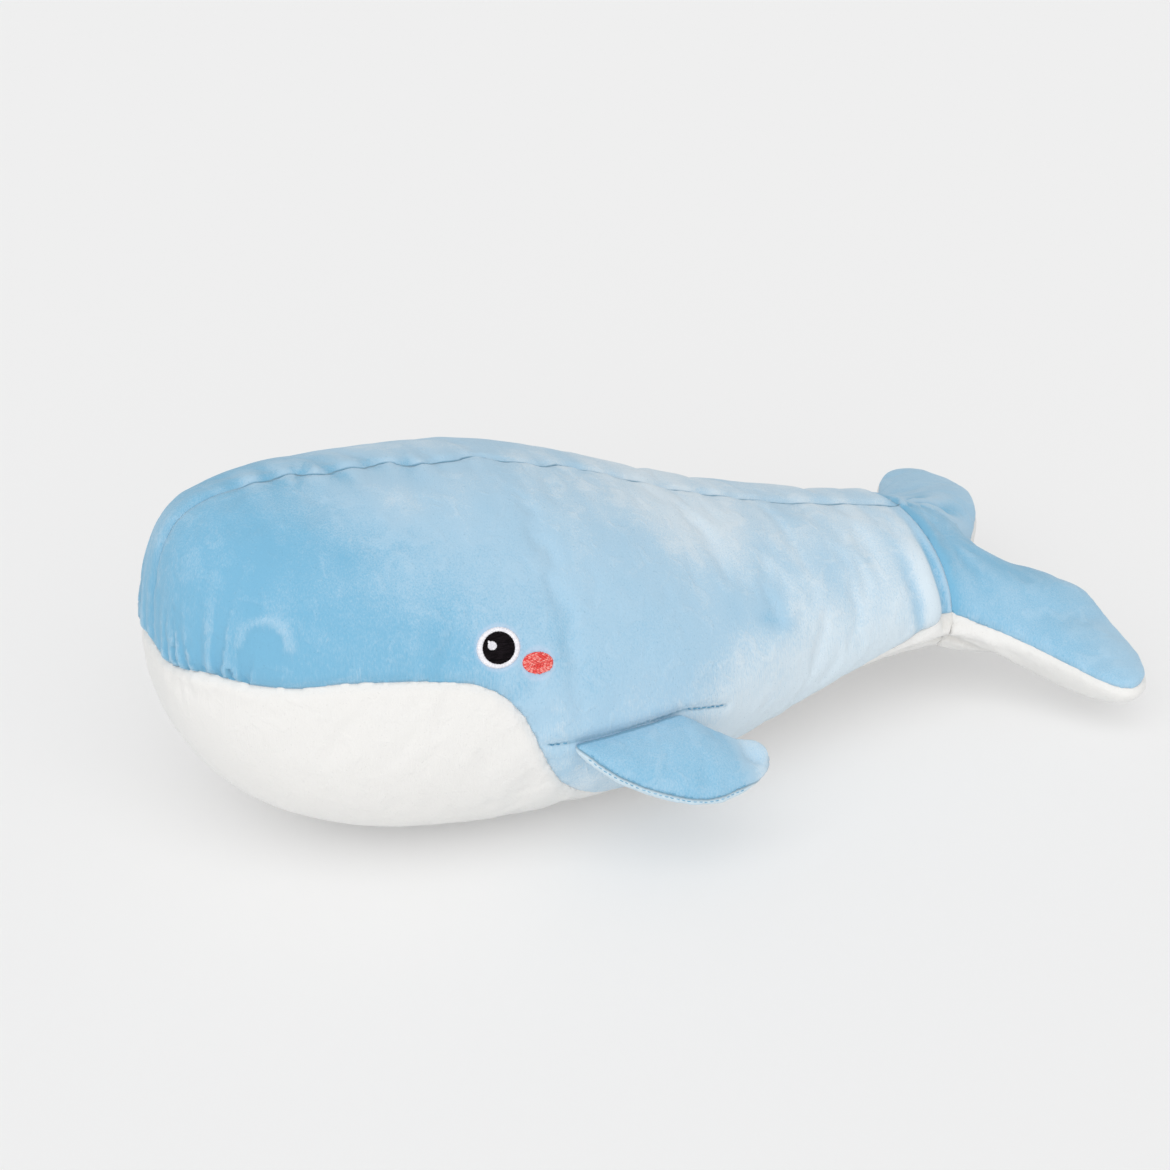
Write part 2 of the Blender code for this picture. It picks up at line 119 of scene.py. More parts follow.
# The line sewn along each flipper's root and on past its ends: places along the body and heights
DART_PLACES = (NOSE + 0.1765, NOSE + 0.188, NOSE + 0.225, NOSE + 0.262, NOSE + 0.290)
DART_HEIGHTS = (0.0815, 0.0805, 0.0803, 0.0790, 0.0705)

# The stitches of the seams that show
STITCH_PITCH = 0.0036
STITCH_LENGTH = 0.0025
STITCH_RADIUS = 0.00034
EDGE_ROW_OFFSETS = (0.0013, -0.0014)

# The embroidery: radii rearwards and up
RING_RADII = (0.0117, 0.0107)
PUPIL_RADII = (0.0088, 0.0086)
GLINT_RADII = (0.0024, 0.0024)
GLINT_SPUR = (-0.0013, 0.0021)
GLINT_SPUR_RADII = (0.0006, 0.0009)
CHEEK_RADII = (0.0085, 0.0057)
CHEEK_LEAN = -0.2

# Where the nap lies smooth and pale, or brushed up and deep: place on the left side, reach, and how pale
NAP_MARKS = (
    ((-0.154, -0.033, 0.198), 0.021, 0.34),
    ((-0.112, -0.027, 0.196), 0.018, 0.20),
    ((-0.241, -0.046, 0.185), 0.030, -0.20),
    ((-0.208, -0.059, 0.184), 0.018, -0.12),
    ((0.027, -0.028, 0.150), 0.055, 0.24),
    ((0.129, -0.035, 0.116), 0.030, 0.22),
    ((0.044, -0.081, 0.111), 0.013, -0.26),
    ((0.018, -0.088, 0.116), 0.011, -0.18),
    ((-0.107, -0.119, 0.100), 0.030, 0.22),
)

# The arc that a thumb pressed over the mouth: its middle, radius, ridge and inner hollow
THUMB_MARK = (-0.243, -0.0686, 0.1476)
THUMB_RADIUS = 0.0125
THUMB_RIDGE = 0.0013
THUMB_DEPTH = 0.0010

# Painted shade in the folds' valleys and painted highlight on their crests: how much paler or deeper the
# colour turns with each metre that a fold stands out, and at the most
FOLD_SHADE = 250
FOLD_SHADE_LIMITS = (-0.55, 0.22)

# The painted shade of the fold at the waist seam, and the nap on the left and right lobe of the tail
WAIST_FOLD_SHADE = -0.30
LOBE_NAPS = (-0.12, 0.04)

# Cutting a skin along its sewing lines
SNAP_SHARE = 0.3
LINE_ROUNDS = 16

# The camera, as the photograph was taken
PICTURE_SIZE = 1170
FOCAL_PIXELS = 2450
CAMERA_YAW = math.radians(25)
CAMERA_TILT = math.radians(28)
CAMERA_DISTANCE = 1.4
CAMERA_TARGET = Vector((NOSE + 0.25, 0, 0.10))
TARGET_PIXEL = (579, 589)
SENSOR_WIDTH = 36

# The wide soft light over the camera, and the pale backdrop
LIGHT_PLACE = CAMERA_TARGET + Vector((-0.75, -1.35, 1.45))
LIGHT_SPREAD = math.radians(85)
BACKDROP_COLOUR = (0.86, 0.86, 0.86, 1)


# Objects and meshes

def choose(*things):
    """Selects only these objects and makes the first one active."""
    bpy.ops.object.select_all(action="DESELECT")
    for thing in things:
        thing.select_set(True)
    bpy.context.view_layer.objects.active = things[0]


def edit_all(operator, **settings):
    """Runs one operator of edit mode on all of the active mesh."""
    bpy.ops.object.mode_set(mode="EDIT")
    bpy.ops.mesh.select_all(action="SELECT")
    operator(**settings)
    bpy.ops.object.mode_set(mode="OBJECT")


def new_object(name, mesh):
    made = bpy.data.objects.new(name, mesh)
    bpy.context.collection.objects.link(made)
    return made


def apply_modifier(obj, kind, **settings):
    """Adds one modifier with its settings and applies it."""
    choose(obj)
    modifier = obj.modifiers.new(kind.title(), kind)
    for name, value in settings.items():
        setattr(modifier, name, value)
    bpy.ops.object.modifier_apply(modifier=modifier.name)


def coordinates(obj):
    points = np.zeros(len(obj.data.vertices) * 3)
    obj.data.vertices.foreach_get("co", points)
    return points.reshape(-1, 3)


def set_coordinates(obj, points):
    obj.data.vertices.foreach_set("co", np.asarray(points, np.float32).ravel())
    obj.data.update()


def unit(vectors):
    return vectors / np.maximum(np.linalg.norm(vectors, axis=-1, keepdims=True), 1e-12)


def outward_ways(obj, rounds=8):
    """The surface's outward ways at the vertices, averaged with their neighbours' a few times."""
    ways = np.zeros(len(obj.data.vertices) * 3)
    obj.data.vertex_normals.foreach_get("vector", ways)
    ways = ways.reshape(-1, 3)
    ends = np.zeros(len(obj.data.edges) * 2, int)
    obj.data.edges.foreach_get("vertices", ends)
    first, second = ends.reshape(-1, 2).T
    for _ in range(rounds):
        total = ways.copy()
        np.add.at(total, first, ways[second])
        np.add.at(total, second, ways[first])
        ways = unit(total)
    return ways


def tree_of(*objects):
    """One search tree over the faces of several meshes."""
    points, faces = [], []
    for obj in objects:
        start = len(points)
        points += [v.co.copy() for v in obj.data.vertices]
        faces += [[start + n for n in p.vertices] for p in obj.data.polygons]
    return BVHTree.FromPolygons(points, faces)


def distances(tree, points):
    return np.array([tree.find_nearest(Vector(point))[3] for point in points])


def smooth_step(values):
    share = np.clip(values, 0, 1)
    return share * share * (3 - 2 * share)


def bump(away, reach):
    """1 at no distance, falling smoothly to nearly 0 at twice the reach."""
    return np.exp(-(away / reach) ** 2)


def copy_nodes(name, nodes):
    """One new object that holds copies of the CAD nodes' meshes, with their doubles merged."""
    copies = [new_object(name, frame["nodes"][node].data.copy()) for node in nodes]
    choose(*copies)
    if len(copies) > 1:
        bpy.ops.object.join()
    made = bpy.context.object
    made.data.materials.clear()
    edit_all(bpy.ops.mesh.remove_doubles, threshold=0.00001)
    return made


# Skins and their sewing lines

def make_skin(name, nodes, voxel, rounds):
    """One closed, even skin round CAD nodes, smoothed until no facet shows."""
    skin = copy_nodes(name, nodes)
    apply_modifier(skin, "REMESH", mode="VOXEL", voxel_size=voxel, use_smooth_shade=True)
    work = bmesh.new()
    work.from_mesh(skin.data)
    islands, loose = [], set(work.verts)
    while loose:
        island, edge = set(), [loose.pop()]
        while edge:
            vertex = edge.pop()
            island.add(vertex)
            beside = {e.other_vert(vertex) for e in vertex.link_edges} & loose
            loose -= beside
            edge += beside
        islands.append(island)
    outer = max(islands, key=len)
    bmesh.ops.delete(work, geom=[v for v in work.verts if v not in outer], context="VERTS")
    work.to_mesh(skin.data)
    work.free()
    apply_modifier(skin, "SMOOTH", factor=0.5, iterations=rounds)
    return skin


def between(first, second, shift=0.0):
    """A field over places: negative nearer the first CAD nodes, positive nearer the second ones."""
    first_tree = tree_of(*(frame["nodes"][node] for node in first))
    second_tree = tree_of(*(frame["nodes"][node] for node in second))
    return lambda points: distances(first_tree, points) - distances(second_tree, points) + shift


def cut_along(work, field, locked, inside):
    """Adds an edge line to a mesh where a field is zero, and returns the vertices on it.

    Vertices near the line are moved onto it, apart from the locked ones, which lie on an earlier line.
    Only the faces whose centres pass the inside test are cut.
    """
    centres = np.array([f.calc_center_median() for f in work.faces])
    faces = [f for f, chosen in zip(work.faces, inside(centres)) if chosen]
    touched = list(dict.fromkeys(v for f in faces for v in f.verts))
    values = dict(zip(touched, field(np.array([v.co for v in touched]))))
    edges = list(dict.fromkeys(e for f in faces for e in f.edges))
    moves = {}
    for edge in edges:
        a, b = edge.verts
        if values[a] * values[b] < 0:
            share = values[a] / (values[a] - values[b])
            near, far, step = (a, b, share) if share < 0.5 else (b, a, 1 - share)
            if step < SNAP_SHARE and near not in locked and step < moves.get(near, (1,))[0]:
                moves[near] = (step, far.co.copy())
    for vertex, (step, far) in moves.items():
        vertex.co = vertex.co.lerp(far, step)
        values[vertex] = 0.0
    line = list(moves)
    for edge in edges:
        a, b = edge.verts
        if values[a] * values[b] < 0:
            _, made = bmesh.utils.edge_split(edge, a, values[a] / (values[a] - values[b]))
            values[made] = 0.0
            line.append(made)
    bmesh.ops.connect_verts(work, verts=line + [v for v in touched if v in locked])
    return set(line)


def even_out(work, pairs, rounds=LINE_ROUNDS):
    """Evens out the seams between these pairs of panels along their run, and returns all seam vertices."""
    beside = {}
    for edge in work.edges:
        pair = {face.material_index for face in edge.link_faces}
        if len(pair) == 2:
            for vertex in edge.verts:
                beside.setdefault(vertex, []).append((edge.other_vert(vertex), tuple(sorted(pair))))
    loose = {}
    for vertex, found in beside.items():
        if len(found) == 2 and found[0][1] == found[1][1] and found[0][1] in pairs:
            loose[vertex] = (found[0][0], found[1][0])
    for _ in range(rounds):
        places = [(first.co + second.co) / 4 + vertex.co / 2 for vertex, (first, second) in loose.items()]
        for vertex, place in zip(loose, places):
            vertex.co = place
    return set(beside)


def even_surface(work, lines, rounds=3):
    """Evens out the small faces beside the seams, which stay where they are."""
    near = {v for line in lines for e in line.link_edges for v in e.verts}
    near |= {v for beside in list(near) for e in beside.link_edges for v in e.verts}
    loose = [v for v in near if v not in lines]
    for _ in range(rounds):
        bmesh.ops.smooth_vert(work, verts=loose, factor=0.5,
                              use_axis_x=True, use_axis_y=True, use_axis_z=True)


def number_panels(work, lines, panel_of):
    """Gives each patch of faces between the sewing lines one panel number, by the vote of its faces."""
    votes = panel_of(np.array([f.calc_center_median() for f in work.faces]))
    vote = dict(zip(work.faces, votes))
    loose = set(work.faces)
    while loose:
        patch, edge = [], [loose.pop()]
        while edge:
            face = edge.pop()
            patch.append(face)
            for side in face.edges:
                if not (side.verts[0] in lines and side.verts[1] in lines):
                    beside = set(side.link_faces) & loose
                    loose -= beside
                    edge += beside
        number = int(np.bincount([vote[f] for f in patch]).argmax())
        for face in patch:
            face.material_index = number


def seam_runs(obj):
    """The ordered places along each sewing line: {(panel, panel): [run of vertex numbers, ...]}."""
    sides = {}
    for polygon in obj.data.polygons:
        for key in polygon.edge_keys:
            sides.setdefault(key, []).append(polygon.material_index)
    beside = {}
    for (a, b), panels in sides.items():
        if len(panels) == 2 and panels[0] != panels[1]:
            links = beside.setdefault(tuple(sorted(panels)), {})
            links.setdefault(a, []).append(b)
            links.setdefault(b, []).append(a)
    runs = {}
    for pair, links in beside.items():
        left = set(links)
        runs[pair] = []
        while left:
            ends = [v for v in left if len([n for n in links[v] if n in left]) < 2] or list(left)
            run = [min(ends)]
            left.discard(run[0])
            while True:
                ahead = [n for n in links[run[-1]] if n in left]
                if not ahead:
                    break
                run.append(ahead[0])
                left.discard(ahead[0])
            if len(run) > 4:
                runs[pair].append(run)
        runs[pair].sort(key=len, reverse=True)
    return runs


# Stuffing and relief

def stuff(skin, sewn, sewing, most):
    """Blows the skin up as cloth, held at its sewing lines, and caps how far a point moves."""
    held = skin.vertex_groups.new(name="sewn")
    held.add([int(number) for number in sewn], 1.0, "REPLACE")
    start = coordinates(skin)
    cloth = skin.modifiers.new("Stuffing", "CLOTH")
    settings = cloth.settings
    settings.quality = 6
    settings.mass = 0.25
    settings.tension_stiffness = settings.compression_stiffness = 12
    settings.shear_stiffness = 6
    settings.bending_stiffness = 0.6
    settings.use_pressure = True
    settings.uniform_pressure_force = sewing.pressure
    settings.vertex_group_mass = held.name
    settings.shrink_min = -sewing.ease
    settings.effector_weights.gravity = 0
    cloth.point_cache.frame_start, cloth.point_cache.frame_end = 1, 20
    for step in range(1, 21):
        bpy.context.scene.frame_set(step)
    choose(skin)
    bpy.ops.object.modifier_apply(modifier=cloth.name)
    bpy.context.scene.frame_set(1)
    moved = coordinates(skin) - start
    length = np.linalg.norm(moved, axis=1, keepdims=True)
    set_coordinates(skin, start + moved * np.minimum(1, most / np.maximum(length, 1e-9)))


class Run:
    """A measured line of sewing, which tells how far away and how far along it any place lies."""

    def __init__(self, points, facing):
        self.points, self.facing = points, facing
        self.along = np.concatenate(([0], np.cumsum(np.linalg.norm(np.diff(points, axis=0), axis=1))))
        self.tree = KDTree(len(points))
        for number, point in enumerate(points):
            self.tree.insert(point, number)
        self.tree.balance()

    def measure(self, places):
        """Distances from the line and lengths along it."""
        found = [self.tree.find(place) for place in places]
        return np.array([f[2] for f in found]), self.along[[f[1] for f in found]]

    def at(self, lengths):
        """Places and outward ways at lengths along the line."""
        return tuple(np.stack([np.interp(lengths, self.along, values[:, axis]) for axis in range(3)], axis=-1)
                     for values in (self.points, self.facing))


def run_from(points, facing, numbers, forward):
    """A sewing line through numbered vertices, turned so that it starts at its end against a way."""
    if (points[numbers[-1]] - points[numbers[0]]) @ np.array(forward) < 0:
        numbers = numbers[::-1]
    return Run(points[numbers], facing[numbers])


def gathers(run, points, span, spacing, height, reach):
    """Small pleats that fan out from a line of sewing, between two lengths along it."""
    away, along = run.measure(points)
    window = smooth_step((along - span[0]) / 0.015) * smooth_step((span[1] - along) / 0.015)
    wave = np.cos(along * 2 * math.pi / spacing + 0.9 * np.sin(along * 2 * math.pi / (spacing * 3.7)))
    return height * window * wave * np.exp(-away / reach) * smooth_step(away / 0.0015)


def crease(points, first, second, width, depth):
    """A straight crease between two places, which fades towards its ends."""
    first, second = np.array(first), np.array(second)
    span = second - first
    share = np.clip((points - first) @ span / (span @ span), 0, 1)
    away = np.linalg.norm(points - first - share[:, None] * span, axis=1)
    return -depth * bump(away, width) * (0.35 + 0.65 * np.sin(share * math.pi))


def hollow(points, centre, radius, depth):
    away = np.linalg.norm(points - np.array(centre), axis=1)
    return -depth * bump(away, radius)


def pummelled(points):
    """The uneven swell of loose fibre under the fabric."""
    broad = np.array([noise.noise(Vector(point) * 26) for point in points])
    fine = np.array([noise.noise(Vector(point) * 85) for point in points])
    return 0.0007 * broad + 0.00022 * fine


def on_panels(obj, numbers):
    """True for the vertices of a skin that a face of these panel numbers touches."""
    chosen = np.zeros(len(obj.data.vertices), bool)
    for polygon in obj.data.polygons:
        if polygon.material_index in numbers:
            chosen[list(polygon.vertices)] = True
    return chosen


def nearest(places, points):
    """Distances of points from the nearest of some places."""
    tree = KDTree(len(places))
    for number, place in enumerate(places):
        tree.insert(place, number)
    tree.balance()
    return np.array([tree.find(point)[2] for point in points])


def on_seams(seams, pairs):
    """The numbers of the vertices on the seams between these pairs of panels."""
    return [number for pair in pairs for run in seams.get(pair, ()) for number in run]


def store(skin, **values):
    """Stores a number at each vertex under each name, for the plush."""
    for name, numbers in values.items():
        marks = skin.data.attributes.new(name, "FLOAT", "POINT")
        marks.data.foreach_set("value", numbers.astype(np.float32))


def split_panels(skin, names):
    """Separates a skin into one object for each panel number."""
    markers = [bpy.data.materials.new(name) for name in names]
    for marker in markers:
        skin.data.materials.append(marker)
    choose(skin)
    edit_all(bpy.ops.mesh.separate, type="MATERIAL")
    panels = {}
    for piece in list(bpy.context.selected_objects):
        number = markers.index(piece.data.materials[0])
        piece.name = piece.data.name = names[number]
        piece.data.materials.clear()
        piece.vertex_groups.clear()
        panels[number] = piece
    for marker in markers:
        bpy.data.materials.remove(marker)
    return panels


def finish_cover(cover, fabric, finish):
    """Gives a cut panel the thickness of its fabric on the inner side, and its plush."""
    apply_modifier(cover, "SOLIDIFY", thickness=fabric, offset=-1, use_rim=True)
    cover.data.shade_smooth()
    cover.data.materials.append(bpy.data.materials[finish])


def length(name, description, default):
    return bpy.props.FloatProperty(name=name, description=description, default=default, unit="LENGTH")


def tint(name, description, *default):
    return bpy.props.FloatVectorProperty(name=name, description=description, default=(*default, 1), size=4,
                                         min=0, max=1, subtype="COLOR")


class WHALE_PG_sewing(bpy.types.PropertyGroup):
    """How the covers are cut, sewn and stuffed."""
    body_grid: length("Body grid", "Spacing of the cloth's points on the body", 0.0038)
    flipper_grid: length("Flipper grid", "Spacing of the cloth's points on a flipper", 0.0022)
    fabric: length("Fabric", "Thickness of the plush", 0.0016)
    flipper_fabric: length("Flipper fabric", "Thickness of a flipper's plush", 0.0012)
    pressure: bpy.props.FloatProperty(
        name="Stuffing", description="How hard the stuffing presses outwards", default=4.0)
    ease: bpy.props.FloatProperty(
        name="Ease", description="Share of spare fabric between the seams", default=0.008)
    swell: length("Most swell", "The furthest that the stuffing moves the body's fabric", 0.005)
    flipper_swell: length("Most swell of a flipper", "The furthest that a flipper's fabric moves", 0.0025)
    seam_depth: length("Seam depth", "How deep the seams draw the covers in", 0.0022)
    seam_reach: length("Seam reach", "How far from a seam the covers are drawn in", 0.0032)
    flipper_seam_depth: length("Flipper seam depth", "How deep a flipper's seam draws its covers in", 0.0009)
    rim: length("Flipper rim", "How far the underside rolls over a flipper's front edge", 0.0030)
    root_sink: length("Root sink", "How far a flipper's root is sewn into the body", 0.0035)


# The covers of the body and the tail

COVERS = {
    SIDE_LEFT: ("side_cover_left", "blue_plush", ("side_panel_left",)),
    SIDE_RIGHT: ("side_cover_right", "blue_plush", ("side_panel_right",)),
    BELLY: ("belly_cover", "white_plush", ("belly_panel", "body_filling")),
    TAIL_TOP: ("tail_top_cover", "blue_plush", ("tail_upper_panel",)),
    TAIL_UNDER: ("tail_under_cover", "white_plush", ("tail_lower_panel", "tail_filling")),
}
FINISHES = {SIDE_LEFT: "body_blue_plush", SIDE_RIGHT: "body_blue_plush", BELLY: "belly_white_plush",
            TAIL_TOP: "limb_blue_plush", TAIL_UNDER: "belly_white_plush"}


def everywhere(centres):
    return np.ones(len(centres), bool)


def on_body(centres):
    return centres[:, 0] < WAIST


# The two waves of the seam along the back: how far each sways sideways, and its length
DORSAL_WAVES = ((0.0026, 0.058), (0.0015, 0.026))


def dorsal_wave(x):
    """How far the seam along the back wanders sideways, where its fabric is gathered."""
    along = x - NOSE
    window = smooth_step((along - 0.05) / 0.04) * smooth_step((0.32 - along) / 0.12)
    return window * sum(sway * np.sin(along * 2 * math.pi / length) for sway, length in DORSAL_WAVES)


def cut_body_skin(skin):
    """Cuts the skin of the body and the tail along its seams, and returns the numbers on them."""
    sides = between(("belly_panel",), ("side_panel_left", "side_panel_right"))
    lobes = between(("tail_lower_panel",), ("tail_upper_panel",))
    work = bmesh.new()
    work.from_mesh(skin.data)
    waist = cut_along(work, lambda points: points[:, 0] - WAIST, set(), everywhere)
    mouth = cut_along(work, sides, waist, on_body)
    back = cut_along(work, lambda points: points[:, 1] - dorsal_wave(points[:, 0]), waist | mouth,
                     lambda centres: on_body(centres) & (sides(centres) > 0))
    lobe_edge = cut_along(work, lobes, waist, lambda centres: ~on_body(centres))

    def panel_of(centres):
        blue = np.where(centres[:, 1] < dorsal_wave(centres[:, 0]), SIDE_LEFT, SIDE_RIGHT)
        body = np.where(sides(centres) > 0, blue, BELLY)
        tail = np.where(lobes(centres) > 0, TAIL_TOP, TAIL_UNDER)
        return np.where(on_body(centres), body, tail)

    number_panels(work, waist | mouth | back | lobe_edge, panel_of)
    seams = even_out(work, ((SIDE_LEFT, BELLY), (SIDE_RIGHT, BELLY), (TAIL_TOP, TAIL_UNDER)))
    even_surface(work, seams)
    work.verts.index_update()
    sewn = sorted(v.index for v in seams)
    work.to_mesh(skin.data)
    work.free()
    return sewn


# The folds in front of the waist: how far in front, reach, height out of the fabric, and how much each leans
WAIST_FOLDS = ((0.0062, 0.0030, -0.0036, 1.0), (0.0150, 0.0050, 0.0014, 1.0), (0.0270, 0.0050, -0.0012, 1.6))

# Creases pressed into the sides: both ends, width and depth
CREASES = (
    ((0.0347, -0.0869, 0.1087), (0.0586, -0.0848, 0.0970), 0.004, 0.0011),
    ((0.0300, 0.0880, 0.1120), (0.0620, 0.0840, 0.1020), 0.004, 0.0008),
    ((-0.2480, -0.0560, 0.1660), (-0.2330, -0.0720, 0.1560), 0.003, 0.0005),
)


def waist_folds(points):
    """Upright folds where the tail presses the ends of the side panels together."""
    x, y, z = points.T
    window = smooth_step((z - 0.050) / 0.012) * smooth_step((0.120 - z) / 0.03) * (x < WAIST)
    lean = (z - 0.08) * 0.10 * np.where(y < 0, 1, -0.6)
    return window * sum(height * bump(x - WAIST + ahead + lean * slant, reach)
                        for ahead, reach, height, slant in WAIST_FOLDS)


def lobe_wrinkles(points):
    """Wrinkles that fan out from the tail's root over the tops of the lobes."""
    x, y, _ = points.T
    height = np.where(y > 0, 0.0015, 0.0002)
    right, rear = np.abs(y) - 0.020, x - WAIST - 0.012
    away, angle = np.hypot(right, rear), np.arctan2(rear, right)
    window = smooth_step((away - 0.010) / 0.012) * smooth_step((0.070 - away) / 0.04) * (x > WAIST)
    return height * window * np.cos(angle * 12 + 0.6 * np.sin(away * 110))


def thumb_arc(points):
    """1 along the arc that a pressed thumb left over the mouth."""
    away = np.linalg.norm(points - np.array(THUMB_MARK), axis=1)
    over = smooth_step((points[:, 2] - THUMB_MARK[2] + 0.006) / 0.006)
    return over * bump(away - THUMB_RADIUS, 0.0034)


def body_folds(skin, points, facing, seams):
    """How far the gathers, folds and dents of the body's skin stand out or in."""
    blue = on_panels(skin, (SIDE_LEFT, SIDE_RIGHT))
    under = on_panels(skin, (BELLY, TAIL_UNDER))
    folds = waist_folds(points) + np.where(under, 0, lobe_wrinkles(points))
    for side in (SIDE_LEFT, SIDE_RIGHT):
        mouth = run_from(points, facing, seams[(side, BELLY)][0], (1, 0, 0))
        folds += gathers(mouth, points, span=(0.004, 0.085), spacing=0.0088,
                         height=np.where(blue, 0.0022, 0.0003), reach=0.018)
        folds += gathers(mouth, points, span=(0.200, 0.480), spacing=0.0190, height=0.0003, reach=0.010)
    back = run_from(points, facing, seams[BACK_SEAM][0], (1, 0, 0))
    folds += gathers(back, points, span=(0.100, 0.240), spacing=0.0200, height=0.0010, reach=0.012)
    folds += gathers(back, points, span=(0.240, 0.520), spacing=0.0280, height=0.0005, reach=0.012)
    waist = run_from(points, facing, seams[WHITE_SEAM][0], (0, 1, 0))
    folds += gathers(waist, points, span=(0.004, 0.160), spacing=0.0170,
                     height=np.where(under, 0.0026, 0.0002), reach=0.022)
    for first, second, width, depth in CREASES:
        folds += crease(points, first, second, width, depth)
    folds += THUMB_RIDGE * thumb_arc(points)
    return folds + hollow(points, THUMB_MARK, THUMB_RADIUS * 0.7, THUMB_DEPTH)


def nap_and_fold_shading(points, folds):
    """How pale the nap lies: brushed patches, with painted shade deeper in the folds and in the fold at the
    waist seam, and a painted highlight paler on their crests.
    """
    left = points * (1, 0, 1) - np.abs(points) * (0, 1, 0)
    wander = 1 + 0.5 * np.array([noise.noise(Vector(point)) for point in points * (80, 28, 28)])
    # Painted shade in the folds' valleys, painted highlight on their crests, and painted shade in the fold at
    # the waist seam.
    nap = np.clip(folds * FOLD_SHADE, *FOLD_SHADE_LIMITS) + WAIST_FOLD_SHADE * bump(points[:, 0] - WAIST + 0.002, 0.005)
    for place, reach, amount in NAP_MARKS:
        nap += amount * bump(np.linalg.norm(left - place, axis=1) * wander, reach)
    left_nap = LOBE_NAPS[0] * (1 - smooth_step((np.abs(points[:, 1]) - 0.030) / 0.060))
    return nap + np.where(points[:, 0] > WAIST, np.where(points[:, 1] > 0, LOBE_NAPS[1], left_nap), 0)


def sewn_root(skin, outward):
    """The line sewn along a flipper's root, laid on the skin."""
    x = np.arange(DART_PLACES[0], DART_PLACES[-1], 0.0008)
    starts = np.stack((x, np.full_like(x, outward * 0.3), np.interp(x, DART_PLACES, DART_HEIGHTS)), axis=-1)
    return Run(*laid_on(tree_of(skin), starts, (0, -outward, 0)))


def laid_on(tree, starts, way):
    """Where straight lines from the starts meet the surface, with its outward ways there."""
    hits = [tree.ray_cast(Vector(start), Vector(way)) for start in starts]
    return np.array([hit[0] for hit in hits]), np.array([hit[1] for hit in hits])


# The lines sewn along the flippers' roots and down their front edges, for the stitches
SEWN_ROOTS = {}
FRONT_SEAMS = {}


class WHALE_OT_covers(bpy.types.Operator):
    """Make the covers of the body and the tail, stuffed and sewn."""
    bl_idname = "whale.covers"
    bl_label = "Body and tail covers"

    def execute(self, context):
        sewing = context.scene.whale_sewing
        skin = make_skin("whale_skin", ("side_panel_left", "side_panel_right", "belly_panel",
                                        "tail_upper_panel", "tail_lower_panel"), sewing.body_grid, 14)
        stuff(skin, cut_body_skin(skin), sewing, sewing.swell)
        apply_modifier(skin, "SUBSURF", levels=1, render_levels=1)
        seams = seam_runs(skin)
        points, facing = coordinates(skin), outward_ways(skin)
        away = nearest(points[on_seams(seams, [pair for pair in seams if pair != WHITE_SEAM])], points)
        soft = nearest(points[on_seams(seams, (WHITE_SEAM,))], points)
        # Distance from the lines painted dark: the seam along the back, fading out towards the nose, and the
        # flippers' roots; the dark there is the stitched line and painted shade in the crease.
        dark = nearest(points[on_seams(seams, (BACK_SEAM,))], points)
        dark += 0.003 * (1 - smooth_step((points[:, 0] - NOSE - 0.020) / 0.050))
        folds = body_folds(skin, points, facing, seams)
        white = on_panels(skin, (BELLY, TAIL_UNDER))
        relief = folds + pummelled(points) * np.where(white, 0.5, 0.8)
        relief += np.where(on_panels(skin, (TAIL_TOP,)), hollow(points, TAIL_NOTCH, *NOTCH_HOLLOW), 0)
        relief -= sewing.seam_depth * bump(away, sewing.seam_reach)
        relief -= sewing.seam_depth * SOFT_SEAM_SHARE * bump(soft, sewing.seam_reach)
        for side, outward in SIDES:
            root = sewn_root(skin, outward)
            near, along = root.measure(points)
            dark = np.minimum(dark, near)
            pulls = 0.75 + 0.25 * np.cos(along * 2 * math.pi / STITCH_PITCH)
            relief -= ROOT_DEPTH * pulls * bump(near, 0.0022)
            relief += ROOT_PUFF * bump(near - 0.006, 0.004)
        sag = hollow(points, TAIL_NOTCH, *NOTCH_SAG) * smooth_step((points[:, 0] - WAIST) / 0.035)
        points = points + facing * relief[:, None] + sag[:, None] * (0, 0, 1)
        points[:, 2] = np.maximum(points[:, 2], 0)
        set_coordinates(skin, points)
        store(skin, seam_distance=dark, nap=nap_and_fold_shading(points, folds))
        for side, outward in SIDES:
            SEWN_ROOTS[side] = sewn_root(skin, outward)
        covers = split_panels(skin, [COVERS[number][0] for number in sorted(COVERS)])
        for number, cover in covers.items():
            _, slot, nodes = COVERS[number]
            finish_cover(cover, sewing.fabric, FINISHES[number])
            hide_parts(*nodes)
            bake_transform(cover)
        return {"FINISHED"}


# The flippers

def flipper_axes(side, outward):
    """The flipper's hinge, its way rearwards along the body, level out from it, and out down its slope."""
    joint = JOINTS[f"flipper_{side}_swing"]
    hinge, axis = np.array(joint["pos_m"]), np.array(joint["axis"])
    along = axis * np.sign(axis[0])
    level = np.array((-along[1] * outward, along[0] * outward, 0))
    out = level * math.cos(FLIPPER_DROOP) - np.array((0, 0, math.sin(FLIPPER_DROOP)))
    return hinge, along, level, out


def front_edge(points, hinge, along, out):
    """1 along a flipper's front edge, and 0 at its root, rear edge and tip."""
    share = (points - hinge) @ along / FLIPPER_LENGTH
    forward = (points - hinge) @ out + FLIPPER_HINGE_INSET - FLIPPER_REACH * (0.02 + 0.62 * share)
    return smooth_step(forward / 0.006) * smooth_step((0.90 - share) / 0.15)


def edge_rows(skin, seams, hinge, along, out):
    """The part of a flipper's seam that runs down its front edge, from the root on."""
    points, facing = coordinates(skin), outward_ways(skin, 3)
    loop = np.array(seams[(FLIPPER_TOP, FLIPPER_UNDER)][0])
    shown = front_edge(points[loop], hinge, along, out) > 0.5
    gap = int(np.flatnonzero(~shown)[0])
    loop, shown = np.roll(loop, -gap), np.roll(shown, -gap)
    return run_from(points, facing, loop[shown], along)


